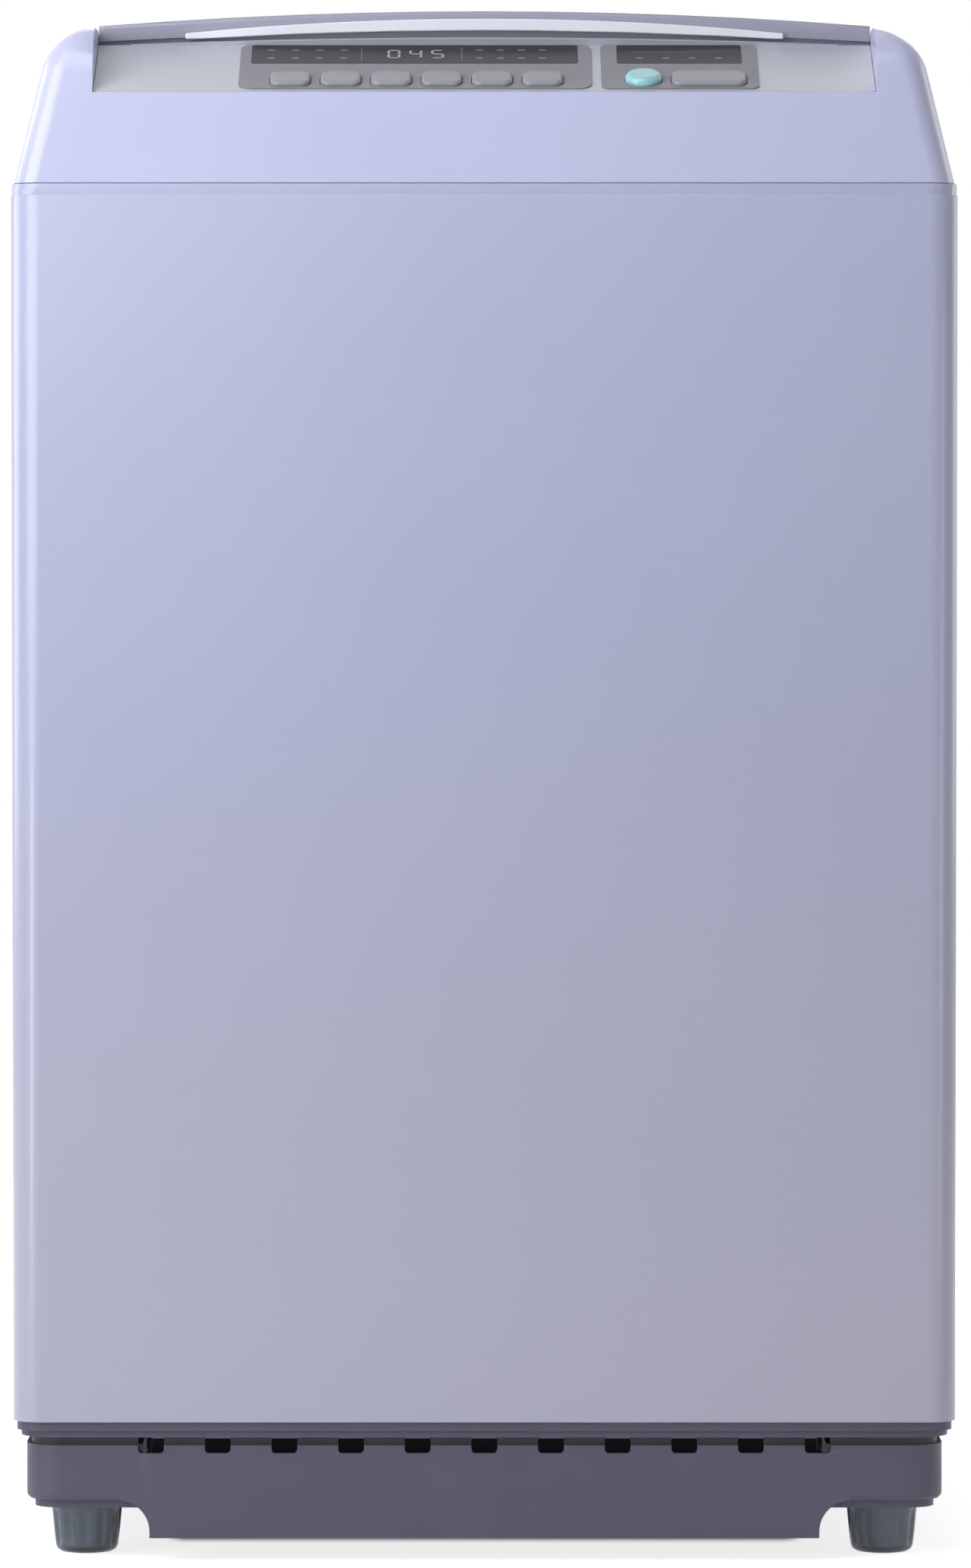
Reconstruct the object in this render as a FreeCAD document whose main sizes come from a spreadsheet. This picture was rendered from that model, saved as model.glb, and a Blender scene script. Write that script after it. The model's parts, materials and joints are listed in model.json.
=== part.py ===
"""Top load washing machine: a parametric assembly, in millimetres.

The origin is on the floor under the tub's axis. +Z is up and the front faces -Y.
"""
import FreeCAD, Part
import Sketcher
import math
import os
import re

Vector = FreeCAD.Vector
doc = FreeCAD.newDocument("washing_machine")
sheet = doc.addObject("Spreadsheet::Sheet", "dim")
nodes = []

# ---------------------------------------------------------------- driving dimensions

SIZES = [
    # clearances and sheet gauges
    ("slip", 0.3, "gap between pieces that are put together loosely"),
    ("running", 0.06, "radial clearance of a shaft in its bearing"),
    ("skin", 1.0, "cabinet sheet steel"),
    ("wall", 3.0, "moulded plastic wall"),
    ("plate", 3.0, "pressed steel plate"),
    # cabinet
    ("cabinet_width", 580.0, "outside width"),
    ("front_reach", 300.0, "tub axis to the cabinet's front face"),
    ("rear_reach", 288.0, "tub axis to the rear edge of the side walls"),
    ("fitting_reach", 11.0, "how far rear fittings stand out of the rear panel"),
    ("cabinet_corner", 18.0, "radius of the cabinet's front corners"),
    ("rear_flange", 18.0, "width of the folded rear flange"),
    ("cabinet_bottom", 86.5, "lower edge of the cabinet"),
    ("cabinet_top", 845.2, "upper edge of the cabinet"),
    ("joggle_height", 7.0, "band at the top that is set in"),
    ("joggle", 0.6, "how far that band is set in"),
    ("hem_height", 12.0, "double sheet along the lower edge"),
    ("bead_depth", 3.0, "pressed stiffening beads of the rear panel"),
    ("bead_width", 26.0, "width of a bead"),
    # base and feet
    ("base_inset", 7.6, "cabinet side to the base's outer wall"),
    ("base_corner", 22.0, "corner radius of the base"),
    ("base_wall", 4.0, "wall of the base"),
    ("base_bottom", 37.5, "lower edge of the base"),
    ("block_bottom", 32.7, "underside of the corner blocks that the feet bear on"),
    ("base_round", 3.4, "rounding of the base's lower edge"),
    ("groove_bottom", 71.7, "lower edge of the vent groove"),
    ("groove_top", 76.9, "upper edge of the vent groove"),
    ("groove_depth", 3.0, "depth of the vent groove"),
    ("base_top", 85.1, "upper face of the base's flange"),
    ("flange_inset", 4.4, "cabinet side to the base's flange"),
    ("upstand", 14.0, "rim of the base that stands inside the cabinet"),
    ("skirt_bottom", 14.4, "lower edge of the front skirt"),
    ("skirt_half", 225.0, "half width of the front skirt at its top"),
    ("skirt_cove", 19.0, "radius of the coves at the skirt's ends"),
    ("vent_pitch", 41.0, "spacing of the vent notches"),
    ("vent_width", 16.0, "width of a vent notch"),
    ("vent_drop", 5.0, "how far a vent notch reaches below the groove"),
    ("vent_count", 11, "vent notches in the front"),
    ("foot_x", 247.0, "foot centre from the middle"),
    ("foot_set_front", 60.0, "cabinet front to the front feet"),
    ("foot_set_rear", 48.0, "rear edge to the rear feet"),
    ("foot_radius", 22.0, "rubber foot at its top"),
    ("foot_sole", 19.3, "rubber foot at the floor"),
    ("spigot_radius", 11.0, "neck of a fixed foot"),
    ("stud_radius", 5.0, "levelling stud"),
    ("corner_block", 70.0, "side of the base's corner blocks"),
    # top cover
    ("cover_seam", 0.6, "gap between cabinet and top cover"),
    ("cover_inset", 2.0, "cabinet side to the top cover's lower edge"),
    ("cover_lean", 13.0, "lean of the top cover's walls, in degrees"),
    ("shoulder_radius", 38.0, "rounding of the shoulders"),
    ("cover_height", 98.5, "cabinet's upper edge to the top of the shoulders"),
    ("recess_deep", 13.5, "top of the shoulders to the floor of the lid recess"),
    ("recess_half", 241.0, "half width of the lid recess"),
    ("recess_wall", 12.0, "rear edge to the rear wall of the lid recess"),
    ("mouth_half", 186.0, "half width of the loading mouth"),
    ("mouth_set", 32.0, "lid's front to the front of the loading mouth"),
    ("mouth_corner", 105.0, "corner radius of the loading mouth"),
    ("mouth_skirt", 74.0, "height of the splash wall below the deck"),
    # control panel
    ("panel_set", 14.7, "cabinet front to the panel's front line"),
    ("panel_rise", 56.0, "cabinet's upper edge to the panel's front line"),
    ("panel_slope", 23.8, "slope of the panel, in degrees"),
    ("panel_deep", 83.5, "length of the panel up its slope"),
    ("panel_half", 240.0, "half width of the panel"),
    ("fascia", 2.5, "thickness of the fascia"),
    ("lens", 0.8, "thickness of the keypad plates and windows"),
    ("key_gap", 0.4, "gap round a key"),
    ("key_travel", 0.8, "stroke of a key"),
    ("key_proud", 2.8, "height of a key over its plate"),
    ("start_proud", 4.6, "height of the start key over its plate"),
    ("key_pitch", 31.0, "spacing of the programme keys"),
    ("key_width", 25.0, "width of a programme key"),
    ("key_deep", 21.0, "length of a programme key up the slope"),
    ("crest", 4.5, "height of the panel's arched upper edge in its middle"),
    ("box_deep", 20.0, "depth of the control box"),
    # lid
    ("lid_gap", 3.2, "deck to the lid's rim"),
    ("lid_edge", 13.7, "height of the lid at its sides"),
    ("lid_crown", 9.2, "rise of the lid in its middle"),
    ("lid_set", 2.9, "panel's upper edge to the lid's front"),
    ("lid_side", 1.2, "gap beside the lid"),
    ("lid_lift", 3.8, "how far the lid's front edge is raised at its ends"),
    ("lid_arch", 6.5, "further rise of that edge in its middle"),
    ("hinge_set", 32.0, "rear edge to the hinge"),
    ("hinge_rise", 7.8, "deck to the hinge"),
    ("hinge_pin", 2.6, "radius of a hinge pin"),
    ("grip_half", 186.0, "half length of the grip strip"),
    ("grip_proud", 3.0, "how far the grip strip stands out of the lid"),
    # tub
    ("tub_radius", 250.0, "outer tub"),
    ("tub_bottom", 225.0, "underside of the tub's floor"),
    ("tub_drop", 75.2, "cabinet's upper edge to the tub's rim"),
    ("tub_rib", 13.0, "height of the ribs under the tub"),
    ("cover_ring", 208.0, "inner radius of the tub cover"),
    ("ring_rise", 30.0, "tub rim to the tub cover's top"),
    ("rod_set", 44.0, "rear edge to the suspension rods"),
    ("rod_radius", 4.0, "suspension rod"),
    ("rod_foot", 236.0, "underside of the rod's retaining plate"),
    ("bracket_drop", 39.2, "cabinet's upper edge to the underside of the corner brackets"),
    ("bracket_reach", 110.0, "corner bracket along each wall"),
    ("lug_z", 336.0, "underside of the tub's lugs"),
    ("cup_radius", 21.0, "damper cup"),
    ("cup_height", 72.0, "damper cup"),
    ("spring_radius", 12.0, "mean radius of a spring"),
    ("spring_wire", 1.6, "half the wire's width"),
    ("spring_turns", 7, "turns of a spring"),
    # basket
    ("basket_radius", 226.0, "outside of the stainless wall"),
    ("basket_skin", 0.8, "stainless sheet"),
    ("basket_floor", 268.0, "lower edge of the stainless wall"),
    ("basket_drop", 28.0, "tub's rim to the upper edge of the stainless wall"),
    ("balance_inner", 196.0, "inner radius of the balance ring"),
    ("balance_outer", 234.0, "outer radius of the balance ring"),
    ("balance_height", 40.0, "height of the balance ring"),
    ("pulsator_radius", 160.0, "pulsator"),
    ("pulsator_low", 277.0, "underside of the pulsator's rim"),
    ("blade_count", 6, "blades of the pulsator"),
    # drive
    ("wash_radius", 7.0, "wash shaft"),
    ("spin_radius", 14.0, "spin shaft"),
    ("drive_z", 209.0, "underside of the drive plate"),
    ("clutch_radius", 60.0, "clutch housing"),
    ("motor_y", 165.0, "motor shaft from the tub axis"),
    ("motor_radius", 60.0, "motor"),
    ("motor_shaft", 6.0, "motor shaft"),
    ("belt_z", 107.0, "middle of the belt"),
    ("pulley_radius", 90.0, "drive pulley"),
    ("pinion_radius", 28.0, "motor pulley"),
    ("pulley_width", 18.0, "both pulleys"),
    ("belt_deep", 7.0, "belt, radially"),
    ("belt_width", 8.0, "belt, along the shafts"),
    # water
    ("valve_x", 130.0, "inlet valve from the middle"),
    ("valve_rise", 46.0, "cabinet's upper edge to the axis of the inlet spigot"),
    ("inlet_radius", 13.2, "outside of the G3/4 spigot"),
    ("drawer_half", 62.0, "half width of the detergent drawer"),
    ("drawer_drop", 12.0, "deck to the top of the drawer"),
    ("drawer_deep", 38.0, "height of the drawer"),
    ("spigot_step", 1.5, "how much wider a spigot's neck is than the spigot"),
    ("drain_x", 165.0, "drain from the middle, to the left"),
    ("drain_y", 120.0, "drain valve from the tub axis"),
    ("drain_z", 172.0, "axis of the drain"),
    ("drain_radius", 16.0, "outside of the drain spigot"),
    ("gland_x", 226.0, "mains cable gland from the middle"),
    ("gland_z", 160.0, "height of the mains cable gland"),
]

# places that follow from the sizes
DERIVED = {
    "cover_top": "(cabinet_top + cover_height)",
    "deck": "(cover_top - recess_deep)",
    "recess_rear": "(rear_reach - recess_wall)",
    "panel_front": "(front_reach - panel_set)",
    "panel_low": "(cabinet_top + panel_rise)",
    "lid_front": "(panel_front - panel_deep * cos(panel_slope) - lid_set)",
    "lid_half": "(recess_half - lid_side)",
    "mouth_front": "(lid_front - mouth_set)",
    "hinge_y": "(rear_reach - hinge_set)",
    "hinge_z": "(deck + hinge_rise)",
    "foot_front": "(front_reach - foot_set_front)",
    "foot_rear": "(rear_reach - foot_set_rear)",
    "rod_offset": "(min(rear_reach; front_reach - 4; cabinet_width / 2 - 2) - rod_set)",
    "bracket_z": "(cabinet_top - bracket_drop)",
    "tub_rim": "(cabinet_top - tub_drop)",
    "basket_rim": "(tub_rim - basket_drop)",
    "valve_y": "(rear_reach - 48)",
    "valve_z": "(cabinet_top + valve_rise)",
    "drawer_high": "(deck - drawer_drop)",
    "drawer_low": "(drawer_high - drawer_deep)",
    "rear_face": "(rear_reach + skin)",
}

for row, (alias, value, note) in enumerate(SIZES, start=1):
    sheet.set("A%d" % row, note)
    sheet.set("B%d" % row, str(value))
    sheet.setAlias("B%d" % row, alias)
doc.recompute()


# ---------------------------------------------------------------- helpers

WORD = re.compile(r"\b([a-z]\w*)\b(?!\s*\()")


def expanded(text):
    """A formula with its derived names written out in driving dimensions."""
    return WORD.sub(lambda found: expanded(DERIVED[found[1]]) if found[1] in DERIVED else found[1],
        str(text))


def bind(text):
    """The spreadsheet expression for a formula written with bare size names."""
    return WORD.sub(r"dim.\1", expanded(text))


def num(text):
    """The present value of a formula."""
    return float(sheet.evalExpression(bind(text)))


def count(text):
    return int(round(num(text)))


def body(label, node=True):
    """A new PartDesign body; a node is written to a file of its own."""
    piece = doc.addObject("PartDesign::Body", label)
    piece.Label = label
    if node:
        nodes.append(piece)
    return piece


def place(piece, x="0", y="0", z="0"):
    for axis, text in zip("xyz", (x, y, z)):
        piece.setExpression("Placement.Base." + axis, bind(text))


def plane_of(piece, role):
    return [item for item in piece.Origin.OriginFeatures if item.Role == role][0]


def sketch(piece, plane, level, loops):
    """A sketch on an origin plane of the body, lifted to level along +X, +Y or +Z."""
    drawing = piece.newObject("Sketcher::SketchObject", "sketch")
    drawing.AttachmentSupport = [(plane_of(piece, plane + "_Plane"), "")]
    drawing.MapMode = "FlatFace"
    sign = "-" if plane == "XZ" else ""
    drawing.setExpression("AttachmentOffset.Base.z", "%s(%s)" % (sign, bind(level)))
    for loop in loops:
        if loop[0] == "circle":
            draw_circle(drawing, *loop[1:])
        elif loop[0] == "belt":
            draw_belt(drawing, *loop[1:])
        else:
            draw_outline(drawing, loop)
    return drawing


def hold(drawing, kind, text, *where):
    """A dimension bound to a formula."""
    index = drawing.addConstraint(Sketcher.Constraint(kind, *where, num(text)))
    drawing.setExpression("Constraints[%d]" % index, bind(text))


def draw_circle(drawing, x, y, radius):
    item = drawing.addGeometry(Part.Circle(Vector(num(x), num(y), 0), Vector(0, 0, 1), num(radius)))
    hold(drawing, "DistanceX", x, -1, 1, item, 3)
    hold(drawing, "DistanceY", y, -1, 1, item, 3)
    hold(drawing, "Radius", radius, item)


def corner_arc(before, corner, after, radius):
    """Start, end and centre of the arc that rounds a corner."""
    one = (before - corner).normalize()
    two = (after - corner).normalize()
    half = one.getAngle(two) / 2
    reach = radius / math.tan(half)
    centre = corner + (one + two).normalize() * (radius / math.sin(half))
    return corner + one * reach, corner + two * reach, centre


def add_arc(drawing, centre, start, end):
    """The shorter arc between two points; returns its number and which of its ends is start."""
    first, last = start - centre, end - centre
    begin = math.atan2(first.y, first.x)
    finish = math.atan2(last.y, last.x)
    forward = (finish - begin) % (2 * math.pi) < math.pi
    if not forward:
        begin, finish = finish, begin
    if finish < begin:
        finish += 2 * math.pi
    circle_of = Part.Circle(centre, Vector(0, 0, 1), first.Length)
    return drawing.addGeometry(Part.ArcOfCircle(circle_of, begin, finish)), 1 if forward else 2


def draw_outline(drawing, corners):
    """A closed outline of (x, y) or (x, y, radius) corners, every one bound to its formula."""
    points = [Vector(num(c[0]), num(c[1]), 0) for c in corners]
    arcs = []
    for index, corner in enumerate(corners):
        point = points[index]
        if len(corner) > 2:
            following = points[(index + 1) % len(points)]
            arcs.append(corner_arc(points[index - 1], point, following, num(corner[2])))
        else:
            arcs.append((point, point, None))
    lines = []
    for index in range(len(points)):
        following = arcs[(index + 1) % len(points)]
        lines.append(drawing.addGeometry(Part.LineSegment(arcs[index][1], following[0])))
    for index, corner in enumerate(corners):
        before, after = lines[index - 1], lines[index]
        if len(corner) > 2:
            start, end, centre = arcs[index]
            arc, first = add_arc(drawing, centre, start, end)
            held = drawing.addGeometry(Part.Point(points[index]), True)
            drawing.addConstraint(Sketcher.Constraint("Tangent", before, 2, arc, first))
            drawing.addConstraint(Sketcher.Constraint("Tangent", arc, 3 - first, after, 1))
            drawing.addConstraint(Sketcher.Constraint("PointOnObject", held, 1, before))
            drawing.addConstraint(Sketcher.Constraint("PointOnObject", held, 1, after))
            hold(drawing, "Radius", corner[2], arc)
        else:
            held = after
            drawing.addConstraint(Sketcher.Constraint("Coincident", before, 2, after, 1))
        hold(drawing, "DistanceX", corner[0], -1, 1, held, 1)
        hold(drawing, "DistanceY", corner[1], -1, 1, held, 1)


def draw_belt(drawing, big, small, apart):
    """The loop round a pulley at the origin and a smaller one at -apart along the sketch's Y."""
    wide, thin, span = num(big), num(small), num(apart)
    tilt = math.asin((wide - thin) / span)
    radial = Vector(math.cos(tilt), -math.sin(tilt), 0)
    mirrored = Vector(-radial.x, radial.y, 0)
    far = Vector(0, -span, 0)
    right = drawing.addGeometry(Part.LineSegment(radial * wide, far + radial * thin))
    left = drawing.addGeometry(Part.LineSegment(mirrored * wide, far + mirrored * thin))
    around_big = Part.Circle(Vector(), Vector(0, 0, 1), wide)
    around_small = Part.Circle(far, Vector(0, 0, 1), thin)
    top = drawing.addGeometry(Part.ArcOfCircle(around_big, -tilt, math.pi + tilt))
    low = drawing.addGeometry(Part.ArcOfCircle(around_small, math.pi + tilt, 2 * math.pi - tilt))
    for arc, line, end, first in ((top, right, 1, 1), (top, left, 1, 2), (low, right, 2, 2),
        (low, left, 2, 1)):
        drawing.addConstraint(Sketcher.Constraint("Tangent", line, end, arc, first))
    for arc, x, y, radius in ((top, "0", "0", big), (low, "0", "-(%s)" % apart, small)):
        hold(drawing, "DistanceX", x, -1, 1, arc, 3)
        hold(drawing, "DistanceY", y, -1, 1, arc, 3)
        hold(drawing, "Radius", radius, arc)


def pad(piece, plane, start, end, *loops):
    """Material from start to end along the plane's +X, +Y or +Z."""
    feature = piece.newObject("PartDesign::Pad", "pad")
    feature.Profile = sketch(piece, plane, start, loops)
    feature.setExpression("Length", bind("(%s) - (%s)" % (end, start)))
    feature.Reversed = plane == "XZ"
    return feature


def cut(piece, plane, start, end, *loops):
    """A pocket from start to end along the plane's +X, +Y or +Z."""
    feature = piece.newObject("PartDesign::Pocket", "pocket")
    feature.Profile = sketch(piece, plane, start, loops)
    feature.setExpression("Length", bind("(%s) - (%s)" % (end, start)))
    feature.Reversed = plane != "XZ"
    return feature


def turn(piece, *loops, degrees="360", plane="XZ", axis="V_Axis"):
    """A revolved profile, with X as the radius and the sketch's upright axis as its centre."""
    feature = piece.newObject("PartDesign::Revolution", "turned")
    feature.Profile = sketch(piece, plane, "0", loops)
    feature.ReferenceAxis = (feature.Profile[0], [axis])
    feature.setExpression("Angle", bind(degrees))
    feature.Midplane = degrees != "360"
    return feature


def groove(piece, *loops):
    """A ring cut round the body's Z axis."""
    feature = piece.newObject("PartDesign::Groove", "groove")
    feature.Profile = sketch(piece, "XZ", "0", loops)
    feature.ReferenceAxis = (feature.Profile[0], ["V_Axis"])
    feature.Angle = 360
    return feature


def around(piece, feature, number):
    """Copies of a feature round the body's Z axis."""
    pattern = piece.newObject("PartDesign::PolarPattern", "around")
    pattern.Originals = [feature]
    pattern.Axis = (plane_of(piece, "Z_Axis"), [""])
    pattern.Angle = 360
    pattern.setExpression("Occurrences", bind(number))
    piece.Tip = pattern
    return pattern


def along(piece, feature, role, length, number):
    """Copies of a feature in a row; length is that of the whole row."""
    pattern = piece.newObject("PartDesign::LinearPattern", "row")
    pattern.Originals = [feature]
    pattern.Direction = (plane_of(piece, role), [""])
    pattern.setExpression("Length", bind(length))
    pattern.setExpression("Occurrences", bind(number))
    piece.Tip = pattern
    return pattern


def dress(piece, kind, size, chosen):
    """A fillet or chamfer on the edges of the body that chosen(edge) accepts."""
    doc.recompute()
    base = piece.Tip
    names = ["Edge%d" % (i + 1) for i, edge in enumerate(base.Shape.Edges) if chosen(edge)]
    if not names:
        raise RuntimeError("no edge of %s to dress" % piece.Label)
    feature = piece.newObject("PartDesign::" + kind, kind.lower())
    feature.Base = (base, names)
    feature.setExpression("Radius" if kind == "Fillet" else "Size", bind(size))
    return feature


def flat_at(z):
    """Edges that lie at one height."""
    height = num(z)
    return lambda edge: abs(edge.BoundBox.ZMin - height) < 0.01 and edge.BoundBox.ZLength < 0.01


def rectangle(x_low, y_low, x_high, y_high, radius=None):
    corners = [(x_low, y_low), (x_high, y_low), (x_high, y_high), (x_low, y_high)]
    if radius is None:
        return corners
    return [(x, y, radius) for x, y in corners]


def circle(x, y, radius):
    return ("circle", x, y, radius)


def cylinder(piece, x, y, radius, start, end, bore=None):
    loops = [circle(x, y, radius)]
    if bore is not None:
        loops.append(circle(x, y, bore))
    return pad(piece, "XY", start, end, *loops)


def group(label, pieces):
    """Identical loose pieces that share one node."""
    together = doc.addObject("Part::Compound", label)
    together.Label = label
    together.Links = pieces
    nodes.append(together)
    return together


def corners_of(x, front, rear):
    """The four corners, with their names; front and rear are distances from the tub's axis."""
    for y, name_y in (("-" + front, "front"), (rear, "rear")):
        for side, name_x in (("-", "left"), ("", "right")):
            yield "%s_%s" % (name_y, name_x), side + x, y


def feet_places():
    return corners_of("foot_x", "foot_front", "foot_rear")


def rod_places():
    return corners_of("rod_offset", "rod_offset", "rod_offset")


# ---------------------------------------------------------------- cabinet

HALF = "cabinet_width / 2"


def wrap(inset, gauge, rear="rear_reach"):
    """The sheet that wraps the left side, the front and the right side, with rear flanges."""
    side = "(%s - (%s))" % (HALF, inset)
    front = "(front_reach - (%s))" % inset
    radius = "cabinet_corner - (%s)" % inset
    lip = "(%s - rear_flange)" % HALF
    outer = [
        ("-" + side, rear),
        ("-" + side, "-" + front, radius),
        (side, "-" + front, radius),
        (side, rear),
    ]
    inner = [
        (lip, rear),
        (lip, "%s - %s" % (rear, gauge)),
        ("%s - %s" % (side, gauge), "%s - %s" % (rear, gauge)),
        ("%s - %s" % (side, gauge), "%s - %s" % (gauge, front), "%s - %s" % (radius, gauge)),
        ("%s - %s" % (gauge, side), "%s - %s" % (gauge, front), "%s - %s" % (radius, gauge)),
        ("%s - %s" % (gauge, side), "%s - %s" % (rear, gauge)),
        ("-" + lip, "%s - %s" % (rear, gauge)),
        ("-" + lip, rear),
    ]
    return outer + inner


def make_cabinet():
    """Painted steel wrap with a hemmed lower edge and a set-in band under the top cover."""
    shell = body("cabinet_shell")
    pad(shell, "XY", "cabinet_bottom", "cabinet_top - joggle_height", wrap("0", "skin"))
    pad(shell, "XY", "cabinet_top - joggle_height - skin", "cabinet_top", wrap("joggle", "skin"))
    pad(shell, "XY", "cabinet_bottom", "cabinet_bottom + hem_height", wrap("0", "2 * skin"))
    dress(shell, "Fillet", "0.7 * skin", flat_at("cabinet_bottom"))


def make_rear_panel():
    """Flat rear sheet with three pressed beads and holes for the drain and the mains cable."""
    panel = body("rear_panel")
    low, high = "cabinet_bottom + 2", "cabinet_top - 2"
    edge = "(%s - 3)" % HALF
    pad(panel, "XZ", "rear_reach", "rear_reach + skin", rectangle("-" + edge, low, edge, high, "6"))
    for place_z in ("0.36", "0.58", "0.8"):
        middle = "cabinet_top * %s" % place_z
        bead = rectangle(
            "-%s * 0.8" % edge, middle + " - bead_width / 2",
            "%s * 0.8" % edge, middle + " + bead_width / 2", "bead_width / 2.2",
        )
        inside = rectangle(
            "skin - %s * 0.8" % edge, middle + " - bead_width / 2 + skin",
            "%s * 0.8 - skin" % edge, middle + " + bead_width / 2 - skin", "bead_width / 2.2 - skin",
        )
        pad(panel, "XZ", "rear_reach + skin / 2", "rear_reach + skin + bead_depth", bead)
        cut(panel, "XZ", "rear_reach", "rear_reach + bead_depth", inside)
    cut(panel, "XZ", "rear_reach", "rear_reach + 2 * skin",
        circle("-drain_x", "drain_z", "drain_radius + spigot_step + slip"))
    cut(panel, "XZ", "rear_reach", "rear_reach + 2 * skin", circle("gland_x", "gland_z", "8 + slip"))


def ring_loops(inset, thick, corner):
    """Outer and inner outline of a band that follows the cabinet's plan."""
    loops = []
    for extra in ("0", thick):
        deep = "(%s + %s)" % (inset, extra)
        loops.append(rectangle(
            "%s - %s" % (deep, HALF), "%s - front_reach" % deep,
            "%s - %s" % (HALF, deep), "rear_reach - %s" % deep, "%s - %s" % (corner, extra),
        ))
    return loops


def make_base():
    """Moulded base: outer wall, vent groove, flange, upstand, corner blocks and front skirt."""
    base = body("base_frame")
    inner = "base_wall + 2 * groove_depth"
    pad(base, "XY", "base_bottom", "groove_bottom", *ring_loops("base_inset", "base_wall", "base_corner"))
    dress(base, "Fillet", "base_round", is_outer_low)
    pad(base, "XY", "groove_bottom - base_wall", "base_top - base_wall",
        *ring_loops("base_inset + groove_depth", "base_wall", "base_corner - groove_depth"))
    pad(base, "XY", "groove_top", "base_top", *ring_loops("flange_inset", inner, "base_corner"))
    pad(base, "XY", "base_top - base_wall", "base_top + upstand",
        *ring_loops("2 * skin + slip", "base_wall", "cabinet_corner - 2 * skin - slip"))
    side = "(%s - base_inset - base_wall / 2)" % HALF
    front = "(front_reach - base_inset - base_wall / 2)"
    rear = "(rear_reach - base_inset)"
    for x_sign in ("-", ""):
        for y_sign, y_edge in (("-", front), ("", rear)):
            x_edge, y_end = x_sign + side, y_sign + y_edge
            x_in = "%s(%s - corner_block)" % (x_sign, side)
            y_in = "%s(%s - corner_block)" % (y_sign, y_edge)
            pad(base, "XY", "base_bottom", "groove_bottom",
                [(x_edge, y_end, "base_corner - base_wall / 2"), (x_edge, y_in), (x_in, y_in, "12"),
                    (x_in, y_end)])
            x_low = "%s(%s - 3)" % (x_sign, side)
            y_low = "%s(%s - 3)" % (y_sign, y_edge)
            pad(base, "XY", "block_bottom", "base_bottom + base_round + 1",
                [(x_low, y_low, "base_corner - base_wall / 2 - 3"), (x_low, y_in), (x_in, y_in, "12"),
                    (x_in, y_low)])
    bores = []
    for name, x, y in feet_places():
        radius = "stud_radius + slip" if name == "front_right" else "spigot_radius + slip"
        bores.append(circle(x, y, radius))
    cut(base, "XY", "block_bottom", "base_top", *bores)
    make_skirt(base)
    notch = cut(
        base, "XZ", "-front_reach", "-front_reach + base_inset + groove_depth + base_wall + 1",
        rectangle(
            "-vent_pitch * (vent_count - 1) / 2 - vent_width / 2", "groove_bottom - vent_drop",
            "-vent_pitch * (vent_count - 1) / 2 + vent_width / 2", "groove_top", "2.5",
        ),
    )
    along(base, notch, "X_Axis", "vent_pitch * (vent_count - 1)", "vent_count")


def is_outer_low(edge):
    """Edges round the outer foot of the base's wall."""
    if not flat_at("base_bottom")(edge):
        return False
    if hasattr(edge.Curve, "Radius"):
        return edge.Curve.Radius > num("base_corner - 1")
    middle = edge.BoundBox.Center
    side = num("cabinet_width / 2 - base_inset") - abs(middle.x)
    front = num("front_reach - base_inset") + middle.y
    rear = num("rear_reach - base_inset") - middle.y
    return min(side, front, rear) < 1


def make_skirt(base):
    """The front skirt hangs below the base's wall between the feet, with coved ends."""
    front = "(base_inset - front_reach)"
    rib = "(%s + base_wall)" % front
    pad(base, "XZ", front, rib,
        rectangle("-skirt_half", "skirt_bottom", "skirt_half", "base_bottom + base_wall"))
    step = "skirt_half - skirt_cove"
    low = "base_bottom - skirt_cove"
    for sign in ("-", ""):
        cut(base, "XZ", front, rib, circle(sign + "skirt_half", low, "skirt_cove"))
        cut(base, "XZ", front, rib,
            rectangle(sign + "(%s)" % step, "skirt_bottom - 1", sign + "(skirt_half + 1)", low))


def foot_profile(neck):
    """Half section of the rubber cup, with its neck."""
    top = "block_bottom - slip"
    return [
        ("0", "0"), ("foot_sole", "0", "5"), ("foot_radius", top), (neck, top),
        (neck, "base_bottom + 13"), ("0", "base_bottom + 13"),
    ]


def make_feet():
    """Rubber feet; the front right one is on a levelling stud."""
    for name, x, y in feet_places():
        levelling = name == "front_right"
        foot = body("levelling_foot" if levelling else "foot_" + name)
        if levelling:
            turn(foot, foot_profile("foot_radius")[:3] + [("0", "block_bottom - slip")])
        else:
            turn(foot, foot_profile("spigot_radius"))
        if levelling:
            cut(foot, "XY", "14", "base_bottom", circle("0", "0", "stud_radius + 0.05"))
        place(foot, x, y)
        if levelling:
            stud = body("levelling_stud")
            cylinder(stud, "0", "0", "stud_radius", "14", "groove_bottom + 26")
            dress(stud, "Chamfer", "1.2", flat_at("groove_bottom + 26"))
            place(stud, x, y)


# ---------------------------------------------------------------- suspension

def make_suspension():
    """Corner brackets, hanging rods, springs and damper cups, one of each in every corner."""
    brackets, rods, cups, springs = [], [], [], []
    for name, x, y in rod_places():
        brackets.append(make_bracket(name))
        rod = body("suspension_rod_" + name, node=False)
        seat = "bracket_z + plate"
        turn(rod, [
            ("0", "rod_foot"), ("15", "rod_foot"), ("15", "rod_foot + 2.5"),
            ("rod_radius", "rod_foot + 2.5"),
            ("rod_radius", seat), ("10", seat), ("10", seat + " + 12", "7"), ("0", seat + " + 12"),
        ])
        place(rod, x, y)
        rods.append(rod)
        cups.append(make_cup(name, x, y))
        springs.append(make_spring(name, x, y))
    group("corner_brackets", brackets)
    group("suspension_rods", rods)
    group("damper_cups", cups)
    group("suspension_springs", springs)


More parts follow.
